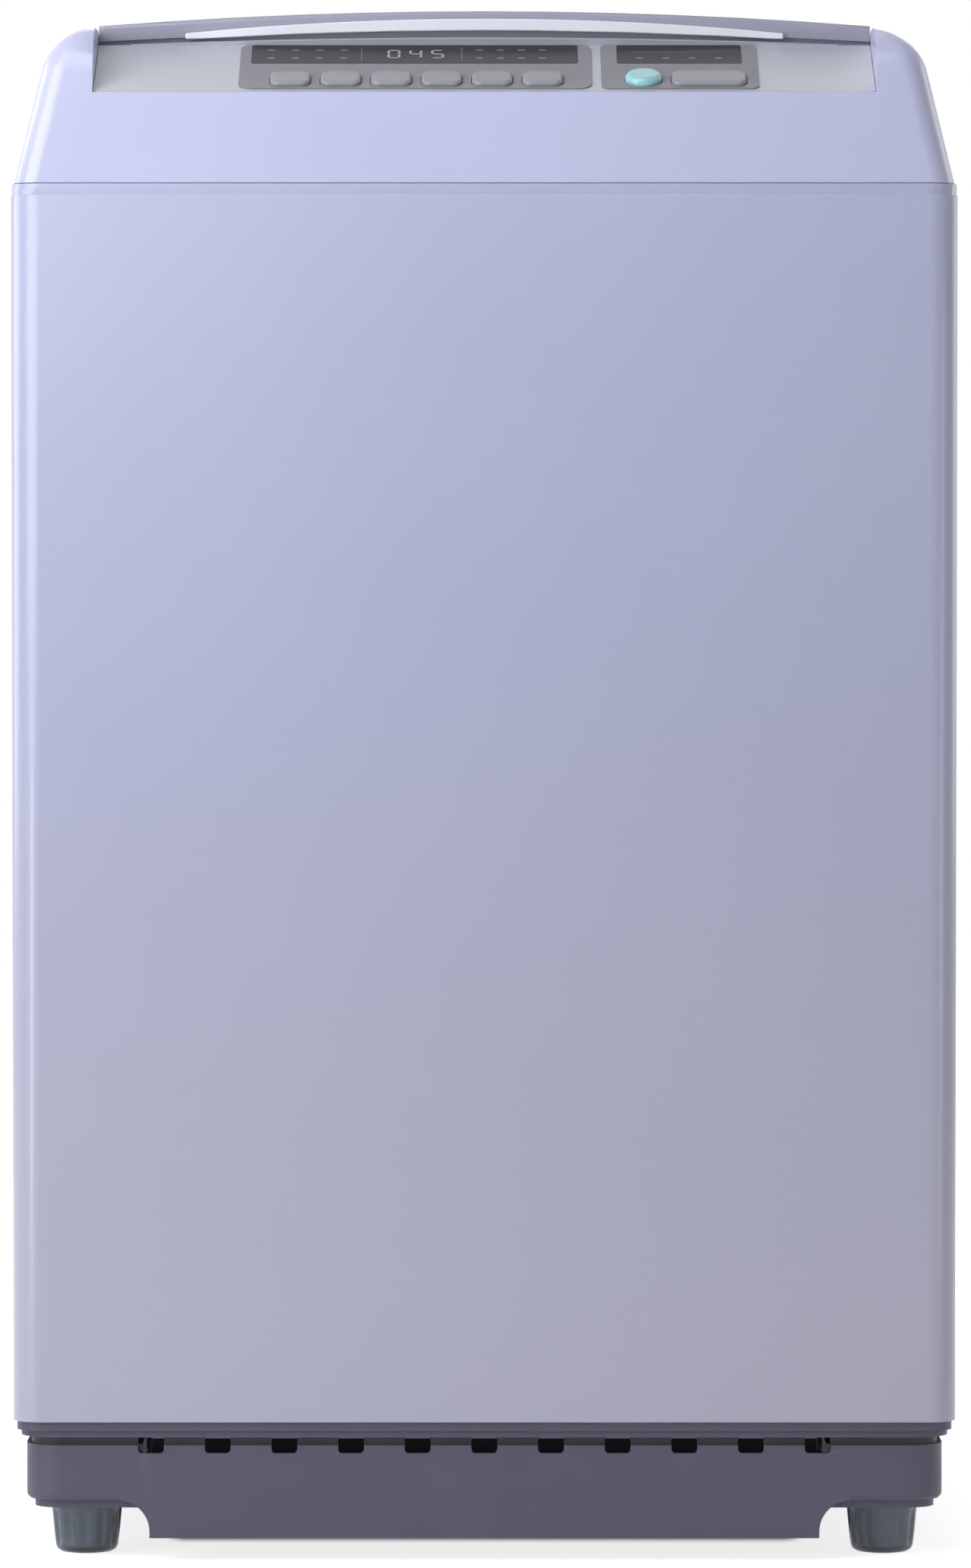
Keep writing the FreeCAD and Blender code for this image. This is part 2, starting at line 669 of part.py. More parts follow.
def make_bracket(name):
    """Pressed gusset in a top corner, with flanges down the two walls and a slotted seat."""
    bracket = body("bracket_" + name, node=False)
    x_sign = "-" if "left" in name else ""
    y_sign = "-" if "front" in name else ""
    wall_x = "(%s - skin - slip)" % HALF
    wall_y = "(front_reach - skin - slip)" if "front" in name else "(rear_reach - skin - slip)"
    reach = "bracket_reach"

    def at(x, y, *radius):
        return (x_sign + "(%s)" % x, y_sign + "(%s)" % y) + radius

    pad(bracket, "XY", "bracket_z", "bracket_z + plate", [
        at(wall_x, wall_y, "cabinet_corner"), at(wall_x, wall_y + " - " + reach),
        at(wall_x + " - 20", wall_y + " - " + reach, "8"),
            at(wall_x + " - " + reach, wall_y + " - 20", "8"),
        at(wall_x + " - " + reach, wall_y),
    ])
    low = "bracket_z - 16"
    pad(bracket, "XY", low, "bracket_z + plate", [
        at(wall_x, wall_y + " - 24"), at(wall_x, wall_y + " - " + reach),
        at(wall_x + " - plate", wall_y + " - " + reach), at(wall_x + " - plate", wall_y + " - 24"),
    ])
    pad(bracket, "XY", low, "bracket_z + plate", [
        at(wall_x + " - 24", wall_y), at(wall_x + " - " + reach, wall_y),
        at(wall_x + " - " + reach, wall_y + " - plate"), at(wall_x + " - 24", wall_y + " - plate"),
    ])
    cut(bracket, "XY", "bracket_z", "bracket_z + plate",
        circle(x_sign + "rod_offset", y_sign + "rod_offset", "rod_radius + slip"))
    return bracket


def make_cup(name, x, y):
    """Damper cup: a bell over the spring, with a neck that centres it in the tub's lug."""
    cup = body("cup_" + name, node=False)
    low = "lug_z - cup_height"
    turn(cup, [
        ("cup_radius - 2", low), ("cup_radius", low), ("cup_radius", "lug_z", "5"), ("8.7", "lug_z"),
        ("8.7", "lug_z + 8"), ("rod_radius + slip", "lug_z + 8"), ("rod_radius + slip", "lug_z - 4"),
        ("cup_radius - 2", "lug_z - 4", "3"),
    ])
    place(cup, x, y)
    return cup


def make_spring(name, x, y):
    """Coil of square wire, as a closed chain of straight lengths round the rod."""
    spring = doc.addObject("Part::Feature", "spring_" + name)
    spring.Label = "spring_" + name
    radius, half = num("spring_radius"), num("spring_wire")
    low = num("rod_foot + 2.5 + slip") + half
    high = num("lug_z - 4 - slip") - half
    steps = 10 * count("spring_turns")
    sections = []
    for step in range(steps + 1):
        angle = 2 * math.pi * step / 10
        height = low + (high - low) * step / steps
        radial = Vector(math.cos(angle), math.sin(angle), 0)
        corners = []
        for across, up in ((-half, -half), (half, -half), (half, half), (-half, half)):
            corners.append(radial * (radius + across) + Vector(0, 0, height + up))
        sections.append(Part.makePolygon(corners + corners[:1]))
    spring.Shape = Part.makeLoft(sections, True, True)
    spring.Placement = FreeCAD.Placement(Vector(num(x), num(y), 0), FreeCAD.Rotation())
    return spring


# ---------------------------------------------------------------- top cover and controls

FRONT_LINE = "-(panel_front)"
SINE = "sin(panel_slope)"
COSINE = "cos(panel_slope)"
LEAN = "tan(cover_lean)"


def on_panel(v, w):
    """Y and Z of a point v up the panel's slope and w above it."""
    y = "(%s + (%s) * %s - (%s) * %s)" % (FRONT_LINE, v, COSINE, w, SINE)
    z = "(panel_low + (%s) * %s + (%s) * %s)" % (v, SINE, w, COSINE)
    return y, z


def make_top_cover():
    """Moulded top: leaning apron, rounded shoulders, lid recess, loading mouth and panel seat."""
    cover = body("top_cover")
    low = "(cabinet_top + cover_seam)"
    side = "(%s - cover_inset)" % HALF
    lean = "((cover_top - %s) * %s)" % (low, LEAN)
    front = "(front_reach - cover_inset)"
    rear = "(rear_reach + skin)"
    pad(cover, "XZ", "-" + front, rear, [
        ("-" + side, low), (side, low), ("%s - %s" % (side, lean), "cover_top", "shoulder_radius"),
        ("%s - %s" % (lean, side), "cover_top", "shoulder_radius"),
    ])
    cut(cover, "YZ", "-" + side, side, [
        ("-%s - 5" % front, low), ("-" + front, low),
        ("%s - %s" % (lean, front), "cover_top", "shoulder_radius"),
        ("59 - front_reach", "cover_top"), ("59 - front_reach", "cover_top + 5"),
        ("-%s - 5" % front, "cover_top + 5"),
    ])
    dress(cover, "Fillet", "cabinet_corner - cover_inset", is_front_corner)
    cut_panel_seat(cover)
    recess = rectangle("-recess_half", "-lid_front - 2", "recess_half", "recess_rear")
    cut(cover, "XY", "deck", "cover_top + 1", recess)
    hollow_top_cover(cover, low, side, rear)
    make_mouth(cover)
    cut_cover_holes(cover)


def is_front_corner(edge):
    """The two leaning edges between the apron and the side walls."""
    box = edge.BoundBox
    return box.ZLength > 40 and box.YMax < num("59 - front_reach") and abs(box.Center.x) > num("recess_half")


def cut_panel_seat(cover):
    """The sloped panel between the cheeks, and the shallow seat of the fascia in it."""
    start = on_panel("-2", "0")
    end = on_panel("panel_deep + 6", "0")
    cut(cover, "YZ", "-panel_half", "panel_half",
        [start, end, (end[0], "cover_top + 3"), (start[0] + " - 20", "cover_top + 3"),
            (start[0] + " - 20", start[1])])
    seat = [on_panel("2", "-fascia"), on_panel("panel_deep + 8", "-fascia"),
            on_panel("panel_deep + 8", "2"), on_panel("2", "2")]
    cut(cover, "YZ", "-panel_half", "panel_half", seat)


def hollow_top_cover(cover, low, side, rear):
    """The space under the deck and inside the shoulders."""
    below = low + " - 1"
    back = "(%s - wall)" % rear
    front_low = "-(front_reach - cover_inset - wall)"
    shelf = "(panel_low - 12)"
    front_high = "(%s + (%s - %s) * %s)" % (front_low, shelf, low, LEAN)
    under = on_panel("0", "-fascia - wall")
    meet = "(%s + (deck - wall - %s) / tan(panel_slope))" % under
    wide = "(%s - wall - (%s - %s) * %s)" % (side, shelf, low, LEAN)
    corner = "cabinet_corner - wall"
    cut(cover, "YZ", "-(%s)" % wide, wide,
        [(front_low + " + " + corner, below), (back, below), (back, shelf),
            (front_high + " + " + corner, shelf)])
    cut(cover, "YZ", "%s - %s" % (corner, wide), "%s - (%s)" % (wide, corner),
        [(front_low, below), (front_low + " + " + corner, below), (front_high + " + " + corner, shelf),
            (front_high, shelf)])
    inner = "(recess_half - wall)"
    cut(cover, "YZ", "-" + inner, inner,
        [(front_high + " + 1", shelf + " - 2"), (back, shelf + " - 2"), (back, "deck - wall"),
            (meet, "deck - wall"),
         ("%s + 1.7 / tan(panel_slope)" % under[0], "%s + 1.7" % under[1])])
    for sign in ("-", ""):
        cut(cover, "XZ", "64 - front_reach", back, [
            (sign + "(%s - 4)" % inner, shelf + " - 2"), (sign + wide, shelf + " - 2"),
            (sign + "(%s - 5)" % wide, shelf + " + 16"), (sign + "(%s - 15)" % wide, shelf + " + 32"),
            (sign + "(recess_half + wall)", "cover_top - 2 * wall"),
            (sign + "(recess_half + wall)", "deck - 2 * wall"),
            (sign + "(%s - 4)" % inner, "deck - 2 * wall"),
        ])


def mouth_loop(grow):
    half = "(mouth_half + %s)" % grow
    front = "(mouth_front + %s)" % grow
    return rectangle("-" + half, "-" + front, half, half, "mouth_corner + %s" % grow)


def make_mouth(cover):
    """The loading mouth, with a splash wall round it and a skirt that locates on the cabinet."""
    pad(cover, "XY", "deck - mouth_skirt", "deck - wall / 2", mouth_loop("wall"))
    cut(cover, "XY", "deck - mouth_skirt", "deck + 1", mouth_loop("0"))
    inside = "joggle + skin + cover_inset / 2 + slip"
    pad(cover, "XY", "cabinet_top - 12", "cabinet_top + cover_seam + 3",
        *ring_loops(inside, "wall", "cabinet_corner - cover_inset"))


def cut_cover_holes(cover):
    """Hinge bores, drawer slot, inlet hole and the opening behind the keys."""
    for sign in ("-", ""):
        ends = sorted([sign + "(recess_half - 1)", sign + "(recess_half + 7)"], key=num)
        cut(cover, "YZ", ends[0], ends[1], circle("hinge_y", "hinge_z", "hinge_pin + running"))
    cut(cover, "XZ", "mouth_half - 2", "mouth_half + wall + 1",
        rectangle("-drawer_half - slip", "drawer_low - slip", "drawer_half + slip", "drawer_high + slip"))
    cut(cover, "XZ", "rear_reach - 2 * wall", "rear_reach + 2",
        circle("valve_x", "valve_z", "inlet_radius + spigot_step + slip"))
    low_y, high_y = on_panel("4.2", "0")[0], on_panel("panel_deep - 16", "0")[0]
    cut(cover, "XY", "panel_low - 14", "cover_top", rectangle("-146", low_y, "163", high_y, "4"))


def on_slope(piece):
    """Puts a piece drawn flat onto the control panel: its Y runs up the slope, its Z out of it."""
    piece.Placement = FreeCAD.Placement(Vector(), FreeCAD.Rotation(Vector(1, 0, 0), 10))
    piece.setExpression("Placement.Rotation.Angle", bind("panel_slope"))
    place(piece, "0", FRONT_LINE, "panel_low")


# left, front, right and rear edge of each field on the panel, in the panel's own plane
KEYPAD = ("-151", "6", "66", "panel_deep - 1")
POWER = ("72", "6", "168.6", "panel_deep - 1")
DISPLAY = ("-144", "49", "57.7", "panel_deep - 2.5")
STATUS = ("82", "49", "159", "panel_deep - 2.5")
START_KEY = ("86.3", "8.6", "109.3", "31.6")
POWER_KEY = ("115", "9", "161", "31")


def grown(field, by):
    return ("%s - (%s)" % (field[0], by), "%s - (%s)" % (field[1], by),
            "%s + (%s)" % (field[2], by), "%s + (%s)" % (field[3], by))


def programme_keys():
    """Fields of the six programme keys, from the left."""
    for index in range(6):
        centre = "(-41.75 + key_pitch * %.1f)" % (index - 2.5)
        yield "programme_key_%d" % (index + 1), (
            "%s - key_width / 2" % centre, "9", "%s + key_width / 2" % centre, "9 + key_deep")


def all_keys():
    return list(programme_keys()) + [("start_key", START_KEY), ("power_key", POWER_KEY)]


def make_controls():
    """Fascia, keypad plates, windows, keys, control box and circuit board."""
    fascia = body("control_fascia")
    edge = "panel_half - slip"
    pad(fascia, "XY", "-fascia", "0", rectangle("-(%s)" % edge, "2 + slip", edge, "panel_deep", "2"))
    pad(fascia, "XZ", "panel_deep - 0.9", "panel_deep + 1.6",
        arch_loop("panel_half - 20", "-fascia", "0", "crest"))
    keypad = body("keypad_plate")
    power = body("power_plate")
    for plate, field, glass, radius in ((keypad, KEYPAD, DISPLAY, "8"), (power, POWER, STATUS, "5")):
        cut(fascia, "XY", "-lens", "1", rectangle(*grown(field, "0.1"), radius))
        pad(plate, "XY", "-lens", "lens", rectangle(*field, radius))
        cut(plate, "XY", "0", "lens + 1", rectangle(*grown(glass, "0.1"), "2"))
    for window, field in ((body("display_window"), DISPLAY), (body("status_window"), STATUS)):
        pad(window, "XY", "0", "lens + 0.2", rectangle(*field, "2"))
        on_slope(window)
    for name, field in all_keys():
        plate = power if name in ("start_key", "power_key") else keypad
        corner = key_corner(name)
        cut(plate, "XY", "-lens", "lens + 1", rectangle(*grown(field, "key_gap"), corner + " + key_gap"))
        cut(fascia, "XY", "-fascia", "1", rectangle(*grown(field, "key_gap"), corner + " + key_gap"))
        make_key(name, field)
    for piece in (fascia, keypad, power):
        on_slope(piece)
    make_control_box()


def key_corner(name):
    """Corner radius of a key; the start key is round."""
    return "11.4" if name == "start_key" else "6"


def make_key(name, field):
    """A moulded key: crowned cap and a stem that reaches its switch."""
    key = body(name)
    proud = "start_proud" if name == "start_key" else "key_proud"
    pad(key, "XY", "-fascia - wall", "lens + " + proud, rectangle(*field, key_corner(name)))
    dress(key, "Fillet", "0.85 * " + proud, flat_at("lens + " + proud))
    middle_x = "(%s + %s) / 2" % (field[0], field[2])
    middle_y = "(%s + %s) / 2" % (field[1], field[3])
    cylinder(key, middle_x, middle_y, "3", "-11", "-fascia - wall + 1")
    on_slope(key)


def make_control_box():
    """Tray under the panel seat, with the circuit board and its switches inside."""
    box = body("control_box")
    rim = "-(fascia + wall)"
    outer = ("-150", "4.6", "168", "panel_deep - 12")
    pad(box, "XY", rim + " - box_deep", rim, rectangle(*outer, "6"))
    cut(box, "XY", rim + " - box_deep + 2", rim + " + 1", rectangle(*grown(outer, "-2"), "4"))
    on_slope(box)
    board = body("control_board")
    top = "(-12.6)"
    pad(board, "XY", top + " - 1.6", top, rectangle(*grown(outer, "-2 - slip"), "4"))
    stands = [circle(x, y, "3") for x in ("-142", "160") for y in ("34", "panel_deep - 20")]
    pad(board, "XY", rim + " - box_deep + 2", top + " - 1", *stands)
    for _, field in all_keys():
        cylinder(board, "(%s + %s) / 2" % (field[0], field[2]), "(%s + %s) / 2" % (field[1], field[3]),
                 "2.4", top + " - 0.5", "-11 - key_travel")
    on_slope(board)


# ---------------------------------------------------------------- lid

def arch_loop(half, low, shoulder, rise):
    """Outline with a flat foot and an arched top that rises in its middle."""
    peak = "(2 * (%s))" % rise
    wide = "(%s)" % half
    radius = "0.97 * sqrt(%s * %s + %s * %s) * %s / %s" % (wide, wide, peak, peak, wide, peak)
    return [("-" + wide, low), (wide, low), (wide, shoulder), ("0", "%s + %s" % (shoulder, peak), radius),
            ("-" + wide, shoulder)]


def crown_loop(inset, low):
    """Front outline of the lid: flat below, with one long arc on top."""
    half = "(lid_half - %s)" % inset
    edge = "(deck + lid_gap + lid_edge - %s)" % inset
    rise = "(2 * lid_crown)"
    radius = "0.985 * sqrt(%s * %s + %s * %s) * %s / %s" % (half, half, rise, rise, half, rise)
    return [("-" + half, low), (half, low), (half, edge), ("0", "%s + %s" % (edge, rise), radius),
            ("-" + half, edge)]


def make_lid():
    """Crowned lid shell with stiffening ribs, an arched front edge and a sloped rear."""
    lid = body("lid")
    low = "(deck + lid_gap)"
    rear = "(hinge_y + hinge_z - %s)" % low
    pad(lid, "XZ", "-lid_front", rear, crown_loop("0", low))
    slope_start = "(hinge_y - 60)"
    tail = "(hinge_z + 5.2)"
    cut(lid, "YZ", "-lid_half - 1", "lid_half + 1", [
        (slope_start, "%s + lid_edge + lid_crown + 1" % low), (rear, tail), (rear + " + 1", tail),
        (rear + " + 1", "%s + lid_edge + lid_crown + 1" % low),
    ])
    cut(lid, "XZ", "2 * wall - lid_front", slope_start, crown_loop("wall", low + " - 1"))
    cut(lid, "XY", low + " - 1", tail + " - wall",
        rectangle("wall - lid_half", slope_start + " - 1", "lid_half - wall", "hinge_y - 12"))
    rib = pad(lid, "YZ", "-lid_half * 0.6 - 1", "-lid_half * 0.6 + 1",
              rectangle("3 - lid_front", low + " + 4", slope_start + " + 10", low + " + lid_edge - 1"))
    along(lid, rib, "X_Axis", "lid_half * 1.2", "5")
    cut(lid, "XZ", "-lid_front - 1", "3 - lid_front",
        arch_loop("lid_half + 1", low + " - 1", low + " + lid_lift", "lid_arch"))
    dress(lid, "Fillet", "2.5", lambda edge: abs(edge.BoundBox.YMax + num("lid_front")) < 0.01
          and edge.BoundBox.ZMin > num(low + " + lid_edge - 1"))
    cut(lid, "XY", low + " - 1", "hinge_z + 30",
        rectangle("-lid_half - 1", "hinge_y - 9", "-lid_half + 1.5", rear + " + 1"),
        rectangle("lid_half - 1.5", "hinge_y - 9", "lid_half + 1", rear + " + 1"))
    for sign in ("-", ""):
        ends = sorted([sign + "(lid_half - 22)", sign + "(lid_half + 1)"], key=num)
        cut(lid, "YZ", ends[0], ends[1], circle("hinge_y", "hinge_z", "hinge_pin"))
    make_lid_fittings(low)


def make_lid_fittings(low):
    """Grip strip, hinge pins and rubber bumpers of the lid."""
    grip = body("lid_grip")
    foot = "(%s + lid_lift + 1.6)" % low
    pad(grip, "XZ", "-lid_front - grip_proud", "-lid_front",
        arch_loop("grip_half", foot, foot + " + 3.6", "8.8"))
    cut(grip, "XZ", "-lid_front - grip_proud - 1", "1 - lid_front",
        arch_loop("grip_half - 6", foot + " - 3", foot, "lid_arch - 1.4"))
    pins = []
    for sign in ("-", ""):
        pin = body("hinge_pin", node=False)
        ends = sorted([sign + "(lid_half - 22)", sign + "(recess_half + 6)"], key=num)
        pad(pin, "YZ", ends[0], ends[1], circle("hinge_y", "hinge_z", "hinge_pin"))
        pins.append(pin)
    group("lid_hinge_pins", pins)
    bumpers = []
    for sign in ("-", ""):
        bumper = body("bumper", node=False)
        cylinder(bumper, sign + "(lid_half - 14)", "30 - lid_front", "4", "deck + slip", low + " + 8")
        bumpers.append(bumper)
    group("lid_bumpers", bumpers)


# ---------------------------------------------------------------- water and small fittings

def make_drawer():
    """Detergent drawer in its housing behind the loading mouth."""
    housing = body("drawer_housing")
    front, rear = "(mouth_half + wall)", "(recess_rear - 6)"
    side = "(drawer_half + slip + wall)"
    low, high = "(drawer_low - slip - wall)", "(deck - wall)"
    pad(housing, "XY", low, high, rectangle("-" + side, front, side, rear))
    cut(housing, "XZ", front + " - 1", rear + " - wall",
        rectangle("-drawer_half - slip", "drawer_low - slip", "drawer_half + slip", "drawer_high + slip"))
    pad(housing, "YZ", side + " - 1", "valve_x - 32 - slip", circle("valve_y", "valve_z + 6", "9"),
        circle("valve_y", "valve_z + 6", "6.5"))
    cut(housing, "YZ", side + " - 2 * wall", side + " + 2", circle("valve_y", "valve_z + 6", "6.5"))
    drawer = body("detergent_drawer")
    back = rear + " - wall - slip"
    pad(drawer, "XY", "drawer_low", "drawer_high",
        rectangle("-drawer_half", front + " - 4", "drawer_half", back, "2"))
    cells = [rectangle("wall - drawer_half", front + " + 3", "8", back + " - 2", "3"),
             rectangle("11", front + " + 3", "drawer_half - wall", back + " - 2", "3")]
    cut(drawer, "XY", "drawer_low + 2", "drawer_high + 1", *cells)
    cut(drawer, "XY", "drawer_low - 1", "drawer_low + 14",
        rectangle("-30", front + " - 5", "30", front + " + 1", "2"))


def make_inlet_valve():
    """Solenoid inlet valve with a G3/4 spigot through the rear of the top cover."""
    valve = body("inlet_valve")
    rear = "(rear_reach + skin - wall)"
    half = "18"
    pad(valve, "XZ", rear + " - 8", rear, rectangle(
        "valve_x - 24", "valve_z - 18", "valve_x + 24", "valve_z + 22", "4"))
    pad(valve, "XZ", "rear_reach - 56", rear + " - 7", circle("valve_x", "valve_z", half))
    pad(valve, "XZ", rear + " - 1", "rear_face + slip",
        circle("valve_x", "valve_z", "inlet_radius + spigot_step"))
    pad(valve, "XZ", "rear_face", "rear_face + fitting_reach", circle("valve_x", "valve_z", "inlet_radius"))
    cut(valve, "XZ", "rear_reach - 20", "rear_reach + fitting_reach + 2",
        circle("valve_x", "valve_z", "9.5"))
    pad(valve, "YZ", "valve_x - 32", "valve_x - 6", circle("valve_y", "valve_z + 6", "9"))
    pad(valve, "XY", "valve_z - 42", "valve_z - 8", circle("valve_x", "rear_reach - 36", "13"))


def make_small_fittings():
    """Level sensor, lid switch, capacitor, cable gland and screws."""
    sensor = body("level_sensor")
    turn(sensor, [("0", "deck - wall - 24"), ("5", "deck - wall - 38", "1.5"), ("5", "deck - wall - 24"),
                  ("20", "deck - wall - 24", "2"), ("20", "deck - wall"), ("0", "deck - wall")][2:]
         + [("0", "deck - wall - 24")])
    cylinder(sensor, "0", "0", "3", "deck - wall - 38", "deck - wall - 23")
    place(sensor, "-140", "rear_reach - 46")
    switch = body("lid_switch")
    pad(switch, "XY", "deck - wall - 22", "deck - wall",
        rectangle("204", "rear_reach - 82", "232", "rear_reach - 38", "2"))
    capacitor = body("run_capacitor")
    cylinder(capacitor, "0", "0", "21", "groove_bottom", "groove_bottom + 84")
    dress(capacitor, "Fillet", "3", flat_at("groove_bottom + 84"))
    place(capacitor, "foot_x - 15", "foot_rear - 18")
    gland = body("cable_gland")
    face = "(rear_reach + skin)"
    pad(gland, "XZ", "rear_reach - 12", face + " + 7", circle("gland_x", "gland_z", "8"),
        circle("gland_x", "gland_z", "4"))
    pad(gland, "XZ", face, face + " + 3", circle("gland_x", "gland_z", "12"),
        circle("gland_x", "gland_z", "7"))
    pad(gland, "XZ", "rear_reach - 5", "rear_reach", circle("gland_x", "gland_z", "11"),
        circle("gland_x", "gland_z", "7"))
    screws = []
    for x in ("-(%s - 9)" % HALF, "(%s - 9)" % HALF):
        for z in ("cabinet_bottom + 30", "cabinet_top * 0.45", "cabinet_top * 0.72", "cabinet_top - 24"):
            screw = body("screw", node=False)
            pad(screw, "XZ", face, face + " + 2.6", circle(x, z, "4"))
            dress(screw, "Chamfer", "1.2", lambda edge: edge.BoundBox.YMin > num(face) + 2.5)
            screws.append(screw)
    group("rear_screws", screws)


def make_drain():
    """Drain valve under the tub, corrugated hose to the rear and the outlet in the rear panel."""
    valve = body("drain_valve")
    x, y = "-drain_x", "drain_y"
    top = "tub_bottom - tub_rib"
    cylinder(valve, x, y, "25", "drain_z - 22", top)
    cylinder(valve, x, y, "31", top + " - 4", top)
    cylinder(valve, x, y, "14", top + " - 1", "tub_bottom")
    pad(valve, "XZ", "drain_y + 10", "drain_y + 40", circle(x, "drain_z", "13"))
    pad(valve, "XZ", "drain_y - 66", "drain_y - 12", rectangle(
        "-drain_x - 18", "drain_z - 18", "18 - drain_x", "drain_z + 20", "4"))
    hose = body("drain_hose")
    start, end = "(drain_y + 41)", "(rear_reach - 20)"
    bellows = []
    for step in range(6):
        here = "(%s - %s) * %.4f" % (end, start, (step + 0.5) / 6)
        bellows += [("15", here + " - 5"), ("18", here + " - 2.5"), ("18", here + " + 2.5"),
            ("15", here + " + 5")]
    turn(hose, [("12.5", "0"), ("15", "0")] + bellows + [("15", "%s - %s" % (end, start)),
        ("12.5", "%s - %s" % (end, start))])
    hose.Placement = FreeCAD.Placement(Vector(), FreeCAD.Rotation(Vector(1, 0, 0), -90))
    place(hose, x, start, "drain_z")
    outlet = body("drain_outlet")
    bore = circle(x, "drain_z", "drain_radius - wall")
    neck = circle(x, "drain_z", "drain_radius + spigot_step")
    pad(outlet, "XZ", "rear_reach - 20 + slip", "rear_face + slip", neck, bore)
    pad(outlet, "XZ", "rear_face", "rear_face + fitting_reach", circle(x, "drain_z", "drain_radius"), bore)
    pad(outlet, "XZ", "rear_reach - 4", "rear_reach", circle(x, "drain_z", "drain_radius + 9"), bore)


# ---------------------------------------------------------------- tub

def diagonal(along_it, across):
    """A point in plan, measured out along a diagonal and square to it."""
    return ("((%s) - (%s)) / sqrt(2)" % (along_it, across), "((%s) + (%s)) / sqrt(2)" % (along_it, across))


def make_tub():
    """Outer tub with a ribbed floor, four suspension lugs and a snap-on cover."""
    tub = body("outer_tub")
    inner = "(tub_radius - wall)"
    floor = "(tub_bottom + wall + 2)"
    turn(tub, [
        ("36", "tub_bottom"), ("tub_radius", "tub_bottom", "20"), ("tub_radius", "tub_rim"),
        (inner, "tub_rim"),
        (inner, floor, "17"), ("36", floor),
    ])
    rib = pad(tub, "XZ", "-1.5", "1.5", [
        ("37", "tub_bottom - tub_rib"), ("200", "tub_bottom - tub_rib"),
        ("tub_radius - 16", "tub_bottom + 2"),
        ("37", "tub_bottom + 2")])
    around(tub, rib, "12")
    ring = turn(tub, rectangle("100", "tub_bottom - tub_rib", "103", "tub_bottom + 2"))
    reach = "(rod_offset * sqrt(2))"
    root = "(%s - 4)" % inner
    lug = pad(tub, "XY", "lug_z", "lug_z + 6", [
        diagonal(root + " + 4.5", "-34"), diagonal(reach + " + 18", "-20") + ("10",),
        diagonal(reach + " + 18", "20") + ("10",), diagonal(root + " + 4.5", "34")])
    around(tub, lug, "4")
    for edge in ("-1", "1"):
        web = pad(tub, "XY", "lug_z + 5", "lug_z + 40", [
            diagonal(root + " + 5", edge + " * 30"), diagonal(reach + " - 12", edge + " * 22"),
            diagonal(reach + " - 12", edge + " * 19"), diagonal(root + " + 5", edge + " * 27")])
        around(tub, web, "4")
    holes = [circle(x, y, "9") for _, x, y in rod_places()]
    cut(tub, "XY", "lug_z - 1", "lug_z + 7", *holes)
    ring_cover = body("tub_cover")
    top = "(tub_rim + ring_rise)"
    outer = "(tub_radius + slip + wall)"
    turn(ring_cover, [
        ("cover_ring", top + " - 14"), ("cover_ring", top, "3"), (outer, top, "6"), (outer, "tub_rim - 18"),
        ("tub_radius + slip", "tub_rim - 18"), ("tub_radius + slip", "tub_rim"),
        ("tub_radius - 5", "tub_rim"),
        ("tub_radius - 5", top + " - 4"), ("cover_ring + wall", top + " - 4"),
        ("cover_ring + wall", top + " - 14"),
    ])


def make_drive():
    """Drive plate, clutch housing, shafts, motor, pulleys and belt."""
    top = "(tub_bottom - tub_rib)"
    plate = body("drive_plate")
    pad(plate, "XY", "drive_z", top, rectangle("-130", "-motor_y - 72", "130", "118", "30"),
        circle("0", "0", "35"), circle("0", "-motor_y", "30"))
    for x in ("-(130)", "(127)"):
        pad(plate, "XY", "drive_z - 14", top, rectangle(x, "-motor_y - 40", x + " + 3", "86"))
    clutch = body("clutch_housing")
    bore = "spin_radius + running"
    turn(clutch, [
        (bore, "126"), ("30", "126"), ("30", "137"), ("clutch_radius", "137", "8"),
        ("clutch_radius", "drive_z - 6"),
        ("80", "drive_z - 6"), ("80", "drive_z"), ("33", "drive_z"), ("33", "tub_bottom + wall + 9", "2"),
        (bore, "tub_bottom + wall + 9"),
    ])
    rib = pad(clutch, "XZ", "-2", "2", [
        ("clutch_radius - 2", "150"), ("clutch_radius + 3", "150"), ("78", "drive_z - 5"),
        ("clutch_radius - 2", "drive_z - 5")])
    around(clutch, rib, "6")
    spin = body("spin_shaft")
    cylinder(spin, "0", "0", "spin_radius", "120", "basket_floor + 16", bore="wash_radius + running")
    wash = body("wash_shaft")
    cylinder(wash, "0", "0", "wash_radius", "belt_z - 16", "pulsator_low + 26")
    dress(wash, "Chamfer", "1", flat_at("belt_z - 16"))
    motor = body("motor")
    shaft_bore = "motor_shaft + running"
    turn(motor, [
        (shaft_bore, "122"), ("18", "122"), ("52", "130", "8"), ("52", "142"), ("motor_radius", "142"),
        ("motor_radius", "186"), ("52", "186"), ("52", "drive_z - 7"), ("70", "drive_z - 7"),
        ("70", "drive_z"),
        ("24", "drive_z"), ("24", "drive_z + 1"), (shaft_bore, "drive_z + 1"),
    ])
    slot = cut(motor, "XZ", "24", "64", rectangle("-5", "146", "5", "182", "2"))
    around(motor, slot, "8")
    place(motor, "0", "-motor_y")
    shaft = body("motor_shaft")
    cylinder(shaft, "0", "0", "motor_shaft", "belt_z - 12", "drive_z - 4")
    place(shaft, "0", "-motor_y")
    make_pulley("drive_pulley", "pulley_radius", "wash_radius", "20", "pulley_radius - 16", "0")
    make_pulley("motor_pulley", "pinion_radius", "motor_shaft", "12", None, "-motor_y")
    belt = body("drive_belt")
    rim = "%s - 1"
    pad(belt, "XY", "belt_z - belt_width / 2", "belt_z + belt_width / 2",
        ("belt", rim % "pulley_radius", rim % "pinion_radius", "motor_y"),
        ("belt", rim % "pulley_radius" + " - belt_deep", rim % "pinion_radius" + " - belt_deep", "motor_y"))


